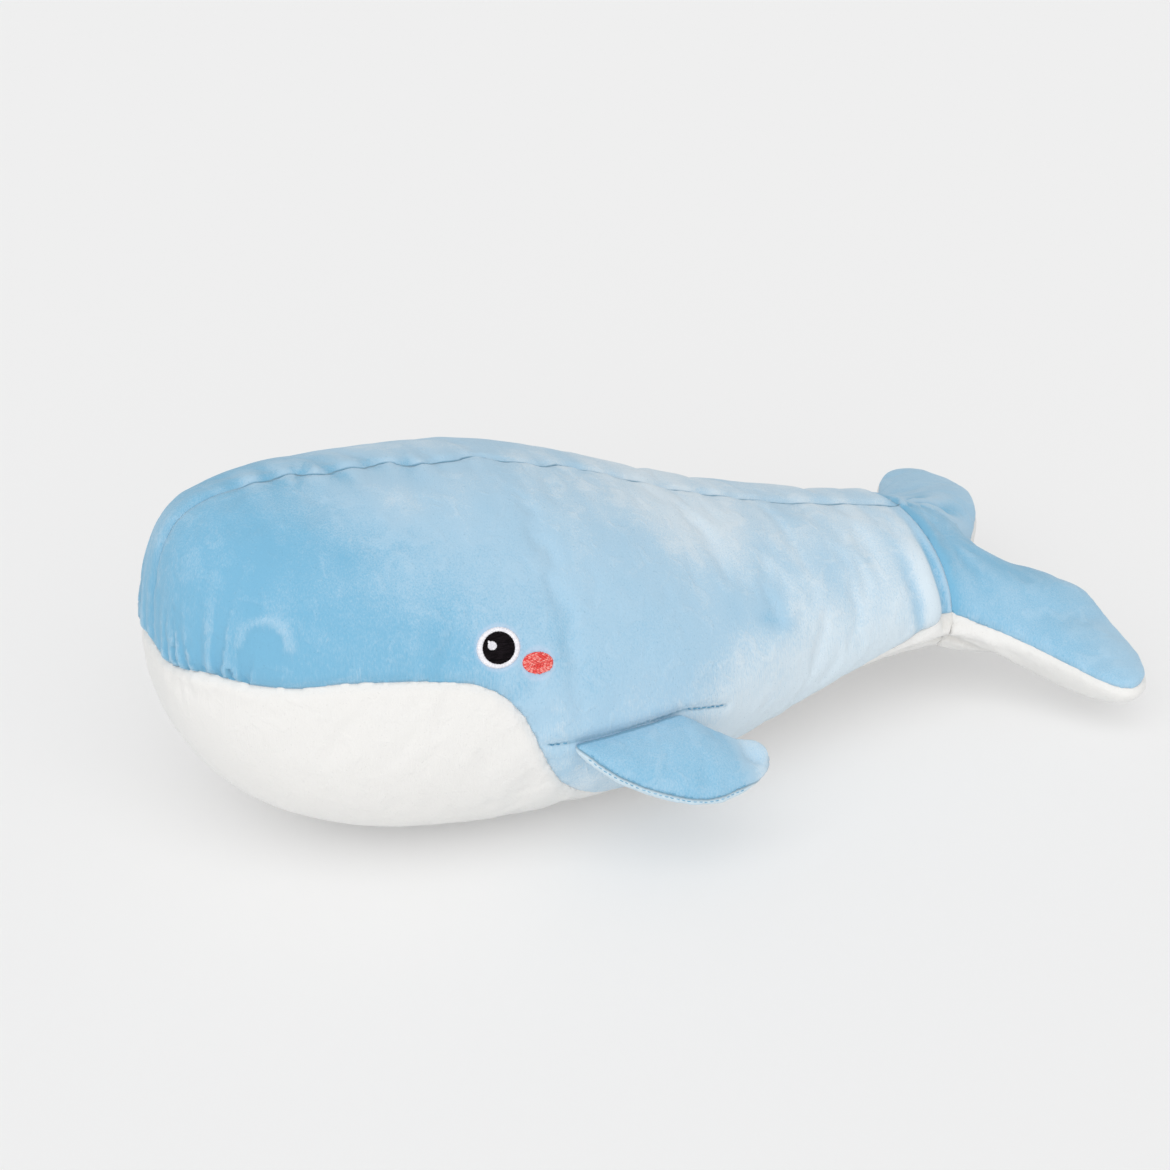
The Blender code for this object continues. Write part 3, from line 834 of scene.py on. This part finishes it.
class WHALE_OT_flippers(bpy.types.Operator):
    """Make both flippers, stuffed, with the underside rolled over the front edge."""
    bl_idname = "whale.flippers"
    bl_label = "Flippers"

    def execute(self, context):
        sewing = context.scene.whale_sewing
        for side, outward in SIDES:
            hinge, along, level, out = flipper_axes(side, outward)
            skin = make_skin("flipper_skin", (f"flipper_upper_{side}", f"flipper_lower_{side}"),
                             sewing.flipper_grid, 6)
            sheets = between((f"flipper_lower_{side}",), (f"flipper_upper_{side}",))

            def seam(points):
                return sheets(points) - sewing.rim * front_edge(points, hinge, along, out)

            work = bmesh.new()
            work.from_mesh(skin.data)
            line = cut_along(work, seam, set(), everywhere)
            number_panels(work, line, lambda centres: np.where(seam(centres) > 0, FLIPPER_TOP, FLIPPER_UNDER))
            line = even_out(work, ((FLIPPER_TOP, FLIPPER_UNDER),), 6)
            even_surface(work, line)
            work.verts.index_update()
            sewn = {v.index for v in line}
            work.to_mesh(skin.data)
            work.free()
            points = coordinates(skin)
            reach = (points - hinge) @ out + FLIPPER_HINGE_INSET
            sewn |= set(np.flatnonzero(reach < 0.008).tolist())
            sink = sewing.root_sink * (1 - smooth_step(reach / 0.012))
            set_coordinates(skin, points - level * sink[:, None])
            stuff(skin, sewn, sewing, sewing.flipper_swell)
            apply_modifier(skin, "SUBSURF", levels=1, render_levels=1)
            seams = seam_runs(skin)
            points, facing = coordinates(skin), outward_ways(skin, 5)
            away = nearest(points[on_seams(seams, seams)], points)
            far, down = FLIPPER_DENT_SHARES
            dent = hinge + along * FLIPPER_LENGTH * far + out * FLIPPER_REACH * down
            relief = pummelled(points) * 0.8 - sewing.flipper_seam_depth * bump(away, 0.0018)
            relief += np.where(facing[:, 2] > 0, hollow(points, dent, *FLIPPER_DENT), 0)
            tip = smooth_step(((points - hinge) @ along / FLIPPER_LENGTH - 0.74) / 0.15)
            root = np.maximum(SEWN_ROOTS[side].measure(points)[0] - 0.0030, 0)
            # Paler nap towards the tip, and painted shade in the dent's hollow.
            nap = tip * TIP_NAP + hollow(points, dent, *FLIPPER_DENT_SHADE)
            # The seam distance darkens the flipper next to its seams and its root: the stitched line and
            # painted shade in the crease.
            store(skin, seam_distance=np.minimum(away, root), nap=nap)
            set_coordinates(skin, points + facing * relief[:, None])
            FRONT_SEAMS[side] = edge_rows(skin, seams, hinge, along, out)
            covers = split_panels(skin, (f"flipper_top_cover_{side}", f"flipper_under_cover_{side}"))
            fabric = sewing.flipper_fabric
            finish_cover(covers[FLIPPER_TOP], fabric, "limb_blue_plush")
            finish_cover(covers[FLIPPER_UNDER], fabric, "rim_blue_plush")
            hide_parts(f"flipper_upper_{side}")
            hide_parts(f"flipper_lower_{side}", f"flipper_filling_{side}")
            for cover in covers.values():
                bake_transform(cover)
        return {"FINISHED"}


# Threads

def strands(name, paths, facing, radius, sides=5):
    """One mesh of many closed strands, each thinner at its ends, along paths of equally many places."""
    count, steps, _ = paths.shape
    ways = unit(np.gradient(paths, axis=1))
    across = unit(np.cross(ways, facing))
    over = np.cross(across, ways)
    turn = np.arange(sides) * 2 * math.pi / sides
    taper = np.sin(np.linspace(0.14, 0.86, steps) * math.pi) ** 0.5 * radius
    ring = np.cos(turn)[:, None] * across[:, :, None] + np.sin(turn)[:, None] * over[:, :, None]
    places = paths[:, :, None] + ring * taper[:, None, None]
    index = np.arange(count * steps * sides).reshape(count, steps, sides)
    beside = np.roll(index, -1, axis=2)
    tube = np.stack((index[:, :-1], index[:, 1:], beside[:, 1:], beside[:, :-1]), axis=-1).reshape(-1, 4)
    ends = np.concatenate((index[:, 0], index[:, -1, ::-1]))
    mesh = bpy.data.meshes.new(name)
    mesh.from_pydata(places.reshape(-1, 3).tolist(), [], tube.tolist() + ends.tolist())
    tones = np.repeat(np.random.default_rng(count).random(count), steps * sides)
    mesh.attributes.new("strand", "FLOAT", "POINT").data.foreach_set("value", tones.astype(np.float32))
    return new_object(name, mesh)


def stitch_row(name, run, span, pitch, length, radius):
    """A row of single stitches along a line of sewing, each dipping into the fabric at its ends."""
    starts = np.arange(span[0], span[1] - length, pitch)
    draws = np.random.default_rng(len(starts)).random((2, len(starts)))
    starts += (draws[0] - 0.5) * pitch * 0.18
    lengths = length * (0.85 + 0.3 * draws[1])
    share = np.linspace(0, 1, 6)
    places, facing = run.at(starts[:, None] + share * lengths[:, None])
    lift = radius * (1.5 * np.sin(share * math.pi) - 0.7)
    return strands(name, places + facing * lift[:, None], facing, radius)


def beside_run(run, tree, offset, inward):
    """The sewing line moved sideways over the surface, towards a place where the offset is positive."""
    across = unit(np.cross(np.gradient(run.points, axis=0), run.facing))
    if np.mean(np.sum(across * (inward - run.points), axis=1)) < 0:
        across = -across
    found = [tree.find_nearest(Vector(point)) for point in run.points + across * offset]
    points = np.array([f[0] for f in found])
    return Run(points, run.facing)


class WHALE_OT_stitches(bpy.types.Operator):
    """Sew the stitches that show: along the flippers' roots and front edges."""
    bl_idname = "whale.stitches"
    bl_label = "Stitches"

    def execute(self, context):
        for side, outward in SIDES:
            hinge, along, _, out = flipper_axes(side, outward)
            root = SEWN_ROOTS[side]
            front = (DART_PLACES[1] - DART_PLACES[0]) * 1.02
            rear = (DART_PLACES[3] - DART_PLACES[0]) * 1.02
            rows = [stitch_row("root_row", root, span, STITCH_PITCH, STITCH_LENGTH, STITCH_RADIUS)
                    for span in ((0.001, front), (rear, root.along[-1]))]
            stitches = sew_together(rows, f"root_stitches_{side}")
            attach(stitches, "body")
            seam = FRONT_SEAMS[side]
            tree = tree_of(bpy.data.objects[f"flipper_top_cover_{side}"],
                           bpy.data.objects[f"flipper_under_cover_{side}"])
            middle = hinge + along * FLIPPER_LENGTH * 0.45 + out * FLIPPER_REACH * 0.3
            rows = []
            for offset in EDGE_ROW_OFFSETS:
                row = beside_run(seam, tree, offset, middle)
                rows.append(stitch_row("edge_row", row, (0.003, row.along[-1] - 0.004), STITCH_PITCH * 0.9,
                                       STITCH_LENGTH * 0.85, STITCH_RADIUS * 0.85))
            stitches = sew_together(rows, f"edge_stitches_{side}", "pale_blue_thread")
            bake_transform(stitches)
        return {"FINISHED"}


def sew_together(rows, name, finish="blue_thread"):
    """Joins rows of strands, and the patches under them, into one piece."""
    choose(*rows)
    if len(rows) > 1:
        bpy.ops.object.join()
    made = bpy.context.object
    made.name = made.data.name = name
    edit_all(bpy.ops.mesh.normals_make_consistent, inside=False)
    made.data.shade_smooth()
    made.data.materials.append(bpy.data.materials[finish])
    return made


# Embroidery

class Patch:
    """A place on a side cover with its own flat axes: rearwards, up, and out from the fabric."""

    def __init__(self, node, side, outward, lean=0.0):
        low, high = (np.array(corner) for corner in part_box(node))
        middle = (low + high) / 2
        self.tree = tree_of(bpy.data.objects[f"side_cover_{side}"])
        spread = [middle + (dx, outward * 0.05, dz) for dx in (-0.004, 0, 0.004) for dz in (-0.004, 0, 0.004)]
        places, ways = laid_on(self.tree, spread, (0, -outward, 0))
        self.middle, self.out = places[4], unit(ways.mean(axis=0))
        level = unit(np.array((1, 0, 0)) - self.out * self.out[0])
        upright = np.cross(self.out, level)
        upright = upright * np.sign(upright[2])
        self.rear = level * math.cos(lean) + upright * math.sin(lean)
        self.up = upright * math.cos(lean) - level * math.sin(lean)

    def place(self, flat, lift):
        """Places over the fabric, from flat coordinates and heights."""
        flat, lift = np.asarray(flat), np.asarray(lift)
        starts = self.middle + flat[..., :1] * self.rear + flat[..., 1:] * self.up + self.out * 0.02
        found, _ = laid_on(self.tree, starts.reshape(-1, 3), -self.out)
        return found.reshape(starts.shape) + lift[..., None] * self.out


def padded_patch(name, patch, offset, section):
    """A closed padding of oval rings under the stitches. The section gives radii and heights, rim first."""
    angle = np.linspace(0, 2 * math.pi, 48, endpoint=False)
    around = np.stack((np.cos(angle), np.sin(angle)), axis=-1)
    rings = [patch.place(np.array(offset) + around * np.array(radii), np.full(len(angle), height))
             for radii, height in section]
    places = np.concatenate(rings)
    index = np.arange(len(places)).reshape(len(rings), -1)
    beside = np.roll(index, -1, axis=1)
    sides = np.stack((index[:-1], beside[:-1], beside[1:], index[1:]), axis=-1).reshape(-1, 4)
    mesh = bpy.data.meshes.new(name)
    mesh.from_pydata(places.tolist(), [], sides.tolist() + [index[0].tolist(), index[-1].tolist()])
    return new_object(name, mesh)


def filled_oval(name, patch, offset, radii, pitch, length, turn, lift, dome):
    """Rows of staggered stitches that fill an oval, over a padding."""
    offset, radii = np.array(offset), np.array(radii)
    row_way = np.array((math.cos(turn), math.sin(turn)))
    side_way = np.array((-row_way[1], row_way[0]))
    half = 1 / np.linalg.norm(side_way / radii)
    share = np.linspace(0, 1, 5)
    flats, heights = [], []
    for number, across in enumerate(np.arange(-half + pitch / 2, half, pitch)):
        chord = np.array([side_way * across + row_way * t for t in np.linspace(-1, 1, 801) * radii.max()])
        inside = chord[np.linalg.norm(chord / radii, axis=1) < 1]
        if len(inside) < 2:
            continue
        first, last = inside[0] @ row_way, inside[-1] @ row_way
        cuts = np.arange(first - length * ((number * 0.382) % 1), last, length)
        for low, high in zip(cuts, cuts + length):
            low, high = max(low, first) + pitch * 0.1, min(high, last) - pitch * 0.1
            if high - low > pitch * 0.8:
                flat = side_way * across + (low + (high - low) * share)[:, None] * row_way
                rise = np.sqrt(np.maximum(0, 1 - np.linalg.norm(flat / radii, axis=1) ** 2))
                flats.append(flat + offset)
                heights.append(lift + dome * rise + pitch * 0.25 * np.sin(share * math.pi))
    paths = patch.place(np.array(flats), np.array(heights))
    facing = np.broadcast_to(patch.out, paths.shape)
    rows = strands(name, paths, facing, pitch * 0.56)
    section = [(radii, -0.0010), (radii, lift - 0.0001), (radii * 0.85, lift + dome * 0.5),
               (radii * 0.5, lift + dome * 0.84), (radii * 0.05, lift + dome * 0.97)]
    return [rows, padded_patch(name + "_padding", patch, offset, section)]


def satin_ring(name, patch, inner, outer, count, height):
    """Satin stitches that run out from the middle all round an oval ring, over a padding."""
    inner, outer = np.array(inner), np.array(outer)
    angle = np.linspace(0, 2 * math.pi, count, endpoint=False)
    share = np.linspace(0, 1, 7)
    wander = 1 + 0.012 * np.sin(angle * 37)
    around = np.stack((np.cos(angle), np.sin(angle)), axis=-1) * wander[:, None]
    flats = around[:, None] * (inner + (outer - inner) * share[:, None])
    lift = height * np.sin(share * math.pi) ** 0.6 - 0.0001
    paths = patch.place(flats, np.broadcast_to(lift, flats.shape[:2]))
    rows = strands(name, paths, np.broadcast_to(patch.out, paths.shape), math.pi * outer[0] / count * 1.15)
    section = [(inner, -0.0008), (inner, 0.0001), ((inner + outer) / 2, height * 0.85),
               (outer, 0.0001), (outer, -0.0008)]
    return [rows, padded_patch(name + "_padding", patch, (0, 0), section[::-1])]


class WHALE_PG_embroidery(bpy.types.PropertyGroup):
    """The threads of the eyes and cheeks."""
    fill_pitch: length("Fill pitch", "Distance between rows of fill stitches", 0.00042)
    cheek_pitch: length("Cheek pitch", "Distance between rows on the cheeks", 0.0008)
    fill_stitch: length("Fill stitch", "Length of a stitch in a pupil", 0.0034)
    glint_stitch: length("Glint stitch", "Length of a stitch in a glint", 0.0030)
    cheek_stitch: length("Cheek stitch", "Length of a stitch on a cheek", 0.0019)
    satin_count: bpy.props.IntProperty(
        name="Satin stitches", description="Stitches round the ring of an eye", default=150)
    padding: length("Padding", "How high the embroidery stands", 0.0009)


class WHALE_OT_face(bpy.types.Operator):
    """Embroider the eyes and the cheeks."""
    bl_idname = "whale.face"
    bl_label = "Eyes and cheeks"

    def execute(self, context):
        thread = context.scene.whale_embroidery
        for side, outward in SIDES:
            eye = Patch(f"eye_ring_{side}", side, outward)
            glint = Patch(f"eye_glint_{side}", side, outward)
            shift = np.array(((glint.middle - eye.middle) @ eye.rear, (glint.middle - eye.middle) @ eye.up))
            ring = satin_ring("ring", eye, np.array(PUPIL_RADII) * 0.95, RING_RADII, thread.satin_count,
                              thread.padding)
            pupil = filled_oval("pupil", eye, (0, 0), PUPIL_RADII, thread.fill_pitch, thread.fill_stitch,
                                turn=0.0, lift=0.0003, dome=thread.padding * 0.7)
            spark = filled_oval("glint", eye, shift, GLINT_RADII, thread.fill_pitch, thread.glint_stitch,
                                turn=1.3, lift=thread.padding * 1.1, dome=0.0004)
            spur = filled_oval("spur", eye, shift + GLINT_SPUR, GLINT_SPUR_RADII, thread.fill_pitch,
                               thread.glint_stitch, turn=1.3, lift=thread.padding, dome=0.0002)
            cheek = filled_oval("cheek", Patch(f"cheek_{side}", side, outward, CHEEK_LEAN), (0, 0),
                                CHEEK_RADII, thread.cheek_pitch, thread.cheek_stitch,
                                turn=0.35, lift=0.0002, dome=thread.padding * 0.6)
            for rows, node, slot in ((ring, "eye_ring", "white_thread"), (pupil, "eye_pupil", "black_thread"),
                                     (spark + spur, "eye_glint", "white_thread"),
                                     (cheek, "cheek", "coral_thread")):
                stitches = sew_together(rows, f"{node}_stitches_{side}", f"embroidery_{slot}")
                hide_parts(f"{node}_{side}")
                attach(stitches, "body")
        return {"FINISHED"}


# Finishes

class Shade:
    """A shader value that takes plain arithmetic."""

    def __init__(self, recipe, socket):
        self.recipe, self.socket = recipe, socket

    def __add__(self, other):
        return self.recipe.maths("ADD", self, other)

    def __sub__(self, other):
        return self.recipe.maths("SUBTRACT", self, other)

    def __rsub__(self, other):
        return self.recipe.maths("SUBTRACT", other, self)

    def __mul__(self, other):
        return self.recipe.maths("MULTIPLY", self, other)

    __radd__, __rmul__ = __add__, __mul__


class Recipe:
    """A material in the making: its nodes, and its Principled shader."""

    def __init__(self, name, roughness):
        self.material = bpy.data.materials.new(name)
        self.material.use_nodes = True
        self.tree = self.material.node_tree
        self.shader = self.tree.nodes["Principled BSDF"]
        self.shader.inputs["Roughness"].default_value = roughness
        self.coordinates = self.node("ShaderNodeTexCoord", {}, {}).outputs["Object"]

    def node(self, kind, settings, values):
        made = self.tree.nodes.new(kind)
        for name, value in settings.items():
            setattr(made, name, value)
        for name, value in values.items():
            self.put(made.inputs[name], value)
        return made

    def put(self, slot, value):
        if isinstance(value, Shade):
            value = value.socket
        if isinstance(value, bpy.types.NodeSocket):
            self.tree.links.new(value, slot)
        else:
            slot.default_value = value

    def maths(self, operation, first, second):
        made = self.node("ShaderNodeMath", {"operation": operation}, {0: first, 1: second})
        return Shade(self, made.outputs[0])

    def place(self, stretch=(1, 1, 1)):
        made = self.node("ShaderNodeVectorMath", {"operation": "MULTIPLY"}, {0: self.coordinates, 1: stretch})
        return made.outputs[0]

    def noise(self, scale, detail=2, stretch=(1, 1, 1), distortion=0):
        made = self.node("ShaderNodeTexNoise", {}, {"Vector": self.place(stretch), "Scale": scale,
                                                    "Detail": detail, "Distortion": distortion})
        return Shade(self, made.outputs["Fac"])

    def along(self, axis):
        made = self.node("ShaderNodeSeparateXYZ", {}, {0: self.coordinates})
        return Shade(self, made.outputs[axis])

    def attribute(self, name):
        return Shade(self, self.node("ShaderNodeAttribute", {"attribute_name": name}, {}).outputs["Fac"])

    def rise(self, value, low, high):
        made = self.node("ShaderNodeMapRange", {"interpolation_type": "SMOOTHSTEP"},
                         {"Value": value, "From Min": low, "From Max": high})
        return Shade(self, made.outputs["Result"])

    def mix(self, share, first, second):
        made = self.node("ShaderNodeMix", {"data_type": "RGBA"}, {0: share, 6: first, 7: second})
        return made.outputs[2]

    def distance(self, point):
        """Distance from a point and from its mirror image on the other side of the whale."""
        mirrored = self.node("ShaderNodeVectorMath", {"operation": "ABSOLUTE"}, {0: self.coordinates})
        ahead = tuple(abs(value) for value in point)
        made = self.node("ShaderNodeVectorMath", {"operation": "DISTANCE"},
                         {0: mirrored.outputs[0], 1: ahead})
        return Shade(self, made.outputs["Value"])

    def paint(self, colour, relief, depth):
        """Joins a colour and a relief to the shader, and returns the material's name."""
        self.put(self.shader.inputs["Base Color"], colour)
        bump = self.node("ShaderNodeBump", {}, {"Height": relief, "Distance": depth, "Strength": 0.6})
        self.put(self.shader.inputs["Normal"], bump.outputs["Normal"])
        return self.material.name


# How dark the plush is in its pits, and in its seams, where the dark is the stitched line and painted shade
# in the crease; and its crushed ring round the embroidery
DARK_SHARE = 0.62
HALO_COLOUR = (0.66, 0.69, 0.84, 1)


def plush(name, deep, middle, pale, fade, contrast):
    """Short-pile plush: its nap lies smooth or crushed in patches, with fine strands down the sides; painted
    shade darkens its seams and folds, and its fade can bring painted light.
    """
    recipe = Recipe(name, 0.92)
    recipe.shader.inputs["Sheen Weight"].default_value = 0.28
    recipe.shader.inputs["Sheen Roughness"].default_value = 0.5
    recipe.shader.inputs["Sheen Tint"].default_value = (0.92, 0.97, 1, 1)
    recipe.shader.inputs["Specular IOR Level"].default_value = 0.15
    clouds = recipe.noise(22, 3)
    crushed = recipe.rise(recipe.noise(75, 2, distortion=0.9), 0.50, 0.66)
    strand = recipe.noise(1300, 2, stretch=(1, 1, 0.14))
    fleck = recipe.noise(2600, 1)
    speck = recipe.rise(recipe.noise(900, 1), 0.68, 0.76)
    # The fade carries the nap and, on the body, painted light on the top and the low sides.
    share = fade(recipe) + contrast * ((clouds - 0.5) * 0.6 + crushed * 0.10 + (strand - 0.5) * 0.6)
    # The stored attribute adds the brushed nap, painted shade in the folds and dents, and painted highlights
    # on the fold crests.
    share = share + contrast * (fleck - 0.5) * 0.35 + recipe.attribute("nap")
    colour = recipe.mix(recipe.rise(share, 0.0, 0.5), deep, middle)
    colour = recipe.mix(recipe.rise(share, 0.5, 1.0), colour, pale)
    dark = tuple(value * DARK_SHARE for value in deep[:3]) + (1,)
    colour = recipe.mix(speck * 0.35 * contrast, colour, dark)
    # Painted shade in the seams' creases, with the stitched line: darker near the seams.
    seam = 1 - recipe.rise(recipe.attribute("seam_distance"), 0.0002, 0.0016)
    colour = recipe.mix(seam * 0.75, colour, dark)
    for node, radius in (("eye_ring_left", RING_RADII[0]), ("cheek_left", CHEEK_RADII[0])):
        low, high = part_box(node)
        middle_of = [(a + b) / 2 for a, b in zip(low, high)]
        ring = 1 - recipe.rise(recipe.distance(middle_of), radius, radius + 0.0020)
        colour = recipe.mix(ring * 0.25, colour, HALO_COLOUR)
    relief = strand * 0.5 + fleck * 0.35 + crushed * 0.5
    return recipe.paint(colour, relief, 0.0006)


def body_nap_and_painted_light(recipe):
    """The nap is deep on the forehead, and pales towards the rear, over the back and down to the belly:
    partly the nap and partly painted light, with a painted highlight on the top and painted light bounced
    from the floor on the low sides.
    """
    # Paler towards the rear: partly the nap and partly painted light.
    rear = recipe.rise(recipe.along("X"), -0.24, 0.07)
    behind = recipe.rise(recipe.along("X"), -0.20, -0.08)
    # Painted highlight: paler on the top, where the light from above falls.
    high = recipe.rise(recipe.along("Z"), 0.13, 0.20)
    # Painted light: the low sides behind the head are paler, as if lit by light bounced from the floor.
    low = 1 - recipe.rise(recipe.along("Z"), 0.035, 0.130)
    return 0.03 + rear * 0.58 + high * (rear * 0.12 + 0.18) + low * behind * 0.45


def limb_fade(recipe):
    return 0.26 + recipe.rise(recipe.along("X"), 0.22, 0.28) * 0.1


def even_fade(recipe):
    return 0.5


def thread(name, shade, light, roughness, shine=0.35):
    """Embroidery thread, each strand a little lighter or darker, with the twist of its fibres."""
    recipe = Recipe(name, roughness)
    recipe.shader.inputs["IOR"].default_value = 1 + shine
    fibre = recipe.noise(3500, 1)
    tone = recipe.attribute("strand") + (fibre - 0.5) * 0.8
    return recipe.paint(recipe.mix(recipe.rise(tone, 0.0, 1.0), shade, light), fibre, 0.0001)


class WHALE_PG_colours(bpy.types.PropertyGroup):
    """The colours of the plush: where its nap lies deep, between, and pale, and where painted shade or
    painted light deepens or pales it.
    """
    deep_blue: tint("Deep blue", "Blue plush, nap brushed up", 0.195, 0.460, 0.660)
    middle_blue: tint("Middle blue", "Blue plush, between", 0.405, 0.605, 0.760)
    pale_blue: tint("Pale blue", "Blue plush, nap brushed flat", 0.660, 0.760, 0.830)
    deep_white: tint("Deep white", "White plush, nap brushed up", 0.76, 0.745, 0.715)
    middle_white: tint("Middle white", "White plush, between", 0.82, 0.81, 0.79)
    pale_white: tint("Pale white", "White plush, nap brushed flat", 0.85, 0.84, 0.83)
    deep_rim: tint("Deep rim", "Flippers' underside, nap brushed up", 0.46, 0.63, 0.74)
    middle_rim: tint("Middle rim", "Flippers' underside, between", 0.60, 0.73, 0.81)
    pale_rim: tint("Pale rim", "Flippers' underside, nap brushed flat", 0.70, 0.79, 0.84)


class WHALE_OT_finishes(bpy.types.Operator):
    """Make the plush and the threads."""
    bl_idname = "whale.finishes"
    bl_label = "Plush and threads"

    def execute(self, context):
        colours = context.scene.whale_colours
        blues = (colours.deep_blue, colours.middle_blue, colours.pale_blue)
        whites = (colours.deep_white, colours.middle_white, colours.pale_white)
        rims = (colours.deep_rim, colours.middle_rim, colours.pale_rim)
        plush("body_blue_plush", *blues, body_nap_and_painted_light, 0.75)
        plush("limb_blue_plush", *blues, limb_fade, 0.6)
        plush("belly_white_plush", *whites, even_fade, 0.5)
        plush("rim_blue_plush", *rims, even_fade, 0.6)
        thread("blue_thread", (0.07, 0.26, 0.44, 1), (0.14, 0.38, 0.56, 1), 0.6)
        thread("pale_blue_thread", (0.16, 0.40, 0.58, 1), (0.28, 0.52, 0.70, 1), 0.6)
        thread("embroidery_white_thread", (0.82, 0.81, 0.86, 1), (0.94, 0.93, 0.96, 1), 0.5)
        thread("embroidery_black_thread", (0.004, 0.003, 0.004, 1), (0.016, 0.012, 0.015, 1), 0.6, 0.15)
        thread("embroidery_coral_thread", (0.84, 0.085, 0.078, 1), (1.0, 0.38, 0.34, 1), 0.5, 0.2)
        return {"FINISHED"}


class WHALE_PG_studio(bpy.types.PropertyGroup):
    """The light and the floor."""
    dome: bpy.props.FloatProperty(
        name="Dome", description="Strength of the light from all round", default=0.60)
    front: bpy.props.FloatProperty(
        name="Front light", description="Strength of the wide soft light from over the camera", default=1.55)
    floor: bpy.props.FloatProperty(
        name="Floor", description="How light the floor is", default=0.92)
    backdrop: bpy.props.FloatProperty(
        name="Backdrop", description="How much backdrop the camera sees in the floor", default=0.35)


def seen_plainly(tree):
    """1 on the rays of the camera and on mirrored or refracted ones, and 0 on those that carry light."""
    path = tree.nodes.new("ShaderNodeLightPath").outputs
    seen = path["Is Camera Ray"]
    for name in ("Is Glossy Ray", "Is Transmission Ray"):
        either = tree.nodes.new("ShaderNodeMath")
        either.operation = "MAXIMUM"
        tree.links.new(seen, either.inputs[0])
        tree.links.new(path[name], either.inputs[1])
        seen = either.outputs[0]
    return seen


class WHALE_OT_stage(bpy.types.Operator):
    """Set the floor, the lights and the camera."""
    bl_idname = "whale.stage"
    bl_label = "Floor, light and camera"

    def execute(self, context):
        scene, studio = context.scene, context.scene.whale_studio
        bpy.ops.mesh.primitive_plane_add(size=9)
        floor = context.object
        floor.name = "floor"
        finish = Recipe("floor_finish", 0.75)
        finish.put(finish.shader.inputs["Base Color"], (studio.floor, studio.floor, studio.floor, 1))
        glow = finish.node("ShaderNodeEmission", {}, {"Color": BACKDROP_COLOUR, "Strength": 1.0})
        seen = Shade(finish, seen_plainly(finish.tree)) * studio.backdrop
        both = finish.node("ShaderNodeMixShader", {},
                           {0: seen, 1: finish.shader.outputs[0], 2: glow.outputs[0]})
        finish.put(finish.tree.nodes["Material Output"].inputs["Surface"], both.outputs[0])
        floor.data.materials.append(finish.material)

        world = bpy.data.worlds.new("studio")
        scene.world = world
        world.use_nodes = True
        tree = world.node_tree
        tree.nodes["Background"].inputs["Color"].default_value = (1, 1, 1, 1)
        tree.nodes["Background"].inputs["Strength"].default_value = studio.dome
        backdrop = tree.nodes.new("ShaderNodeBackground")
        backdrop.inputs["Color"].default_value = BACKDROP_COLOUR
        both = tree.nodes.new("ShaderNodeMixShader")
        tree.links.new(seen_plainly(tree), both.inputs[0])
        tree.links.new(tree.nodes["Background"].outputs[0], both.inputs[1])
        tree.links.new(backdrop.outputs[0], both.inputs[2])
        tree.links.new(both.outputs[0], tree.nodes["World Output"].inputs["Surface"])

        bpy.ops.object.light_add(type="SUN", location=LIGHT_PLACE)
        light = context.object
        light.name = "front_light"
        light.data.angle = LIGHT_SPREAD
        light.data.energy = studio.front
        aim(light, CAMERA_TARGET)

        level = math.cos(CAMERA_TILT)
        look = Vector((math.sin(CAMERA_YAW) * level, math.cos(CAMERA_YAW) * level, -math.sin(CAMERA_TILT)))
        bpy.ops.object.camera_add(location=CAMERA_TARGET - look * CAMERA_DISTANCE)
        camera = context.object
        camera.name = "photo_camera"
        aim(camera, CAMERA_TARGET)
        camera.data.sensor_width = SENSOR_WIDTH
        camera.data.lens = FOCAL_PIXELS / PICTURE_SIZE * SENSOR_WIDTH
        camera.data.shift_x = (PICTURE_SIZE / 2 - TARGET_PIXEL[0]) / PICTURE_SIZE
        camera.data.shift_y = (TARGET_PIXEL[1] - PICTURE_SIZE / 2) / PICTURE_SIZE
        scene.camera = camera
        scene.view_settings.view_transform = "Standard"
        return {"FINISHED"}


def aim(obj, target):
    """Turns a lamp or a camera towards a place."""
    obj.rotation_euler = (target - obj.location).to_track_quat("-Z", "Y").to_euler()


class WHALE_PT_panel(bpy.types.Panel):
    """The sizes of the whale's sewing and the buttons that make it."""
    bl_label = "Plush whale"
    bl_idname = "WHALE_PT_panel"
    bl_space_type = "VIEW_3D"
    bl_region_type = "UI"
    bl_category = "Whale"

    def draw(self, context):
        for values in GROUPS:
            for name in GROUPS[values].__annotations__:
                self.layout.prop(getattr(context.scene, values), name)
        for step in STEPS:
            self.layout.operator(step.bl_idname)


GROUPS = {"whale_sewing": WHALE_PG_sewing, "whale_embroidery": WHALE_PG_embroidery,
          "whale_colours": WHALE_PG_colours, "whale_studio": WHALE_PG_studio}
STEPS = [WHALE_OT_finishes, WHALE_OT_covers, WHALE_OT_flippers, WHALE_OT_stitches, WHALE_OT_face,
         WHALE_OT_stage]
CLASSES = [*GROUPS.values(), *STEPS, WHALE_PT_panel]


def register():
    for kind in CLASSES:
        bpy.utils.register_class(kind)
    for name, kind in GROUPS.items():
        setattr(bpy.types.Scene, name, bpy.props.PointerProperty(type=kind))


def unregister():
    for name in GROUPS:
        delattr(bpy.types.Scene, name)
    for kind in reversed(CLASSES):
        bpy.utils.unregister_class(kind)


def main():
    register()
    bpy.ops.whale.finishes()
    bpy.ops.whale.covers()
    bpy.ops.whale.flippers()
    bpy.ops.whale.stitches()
    bpy.ops.whale.face()
    bpy.ops.whale.stage()


if __name__ == "__main__":
    main()
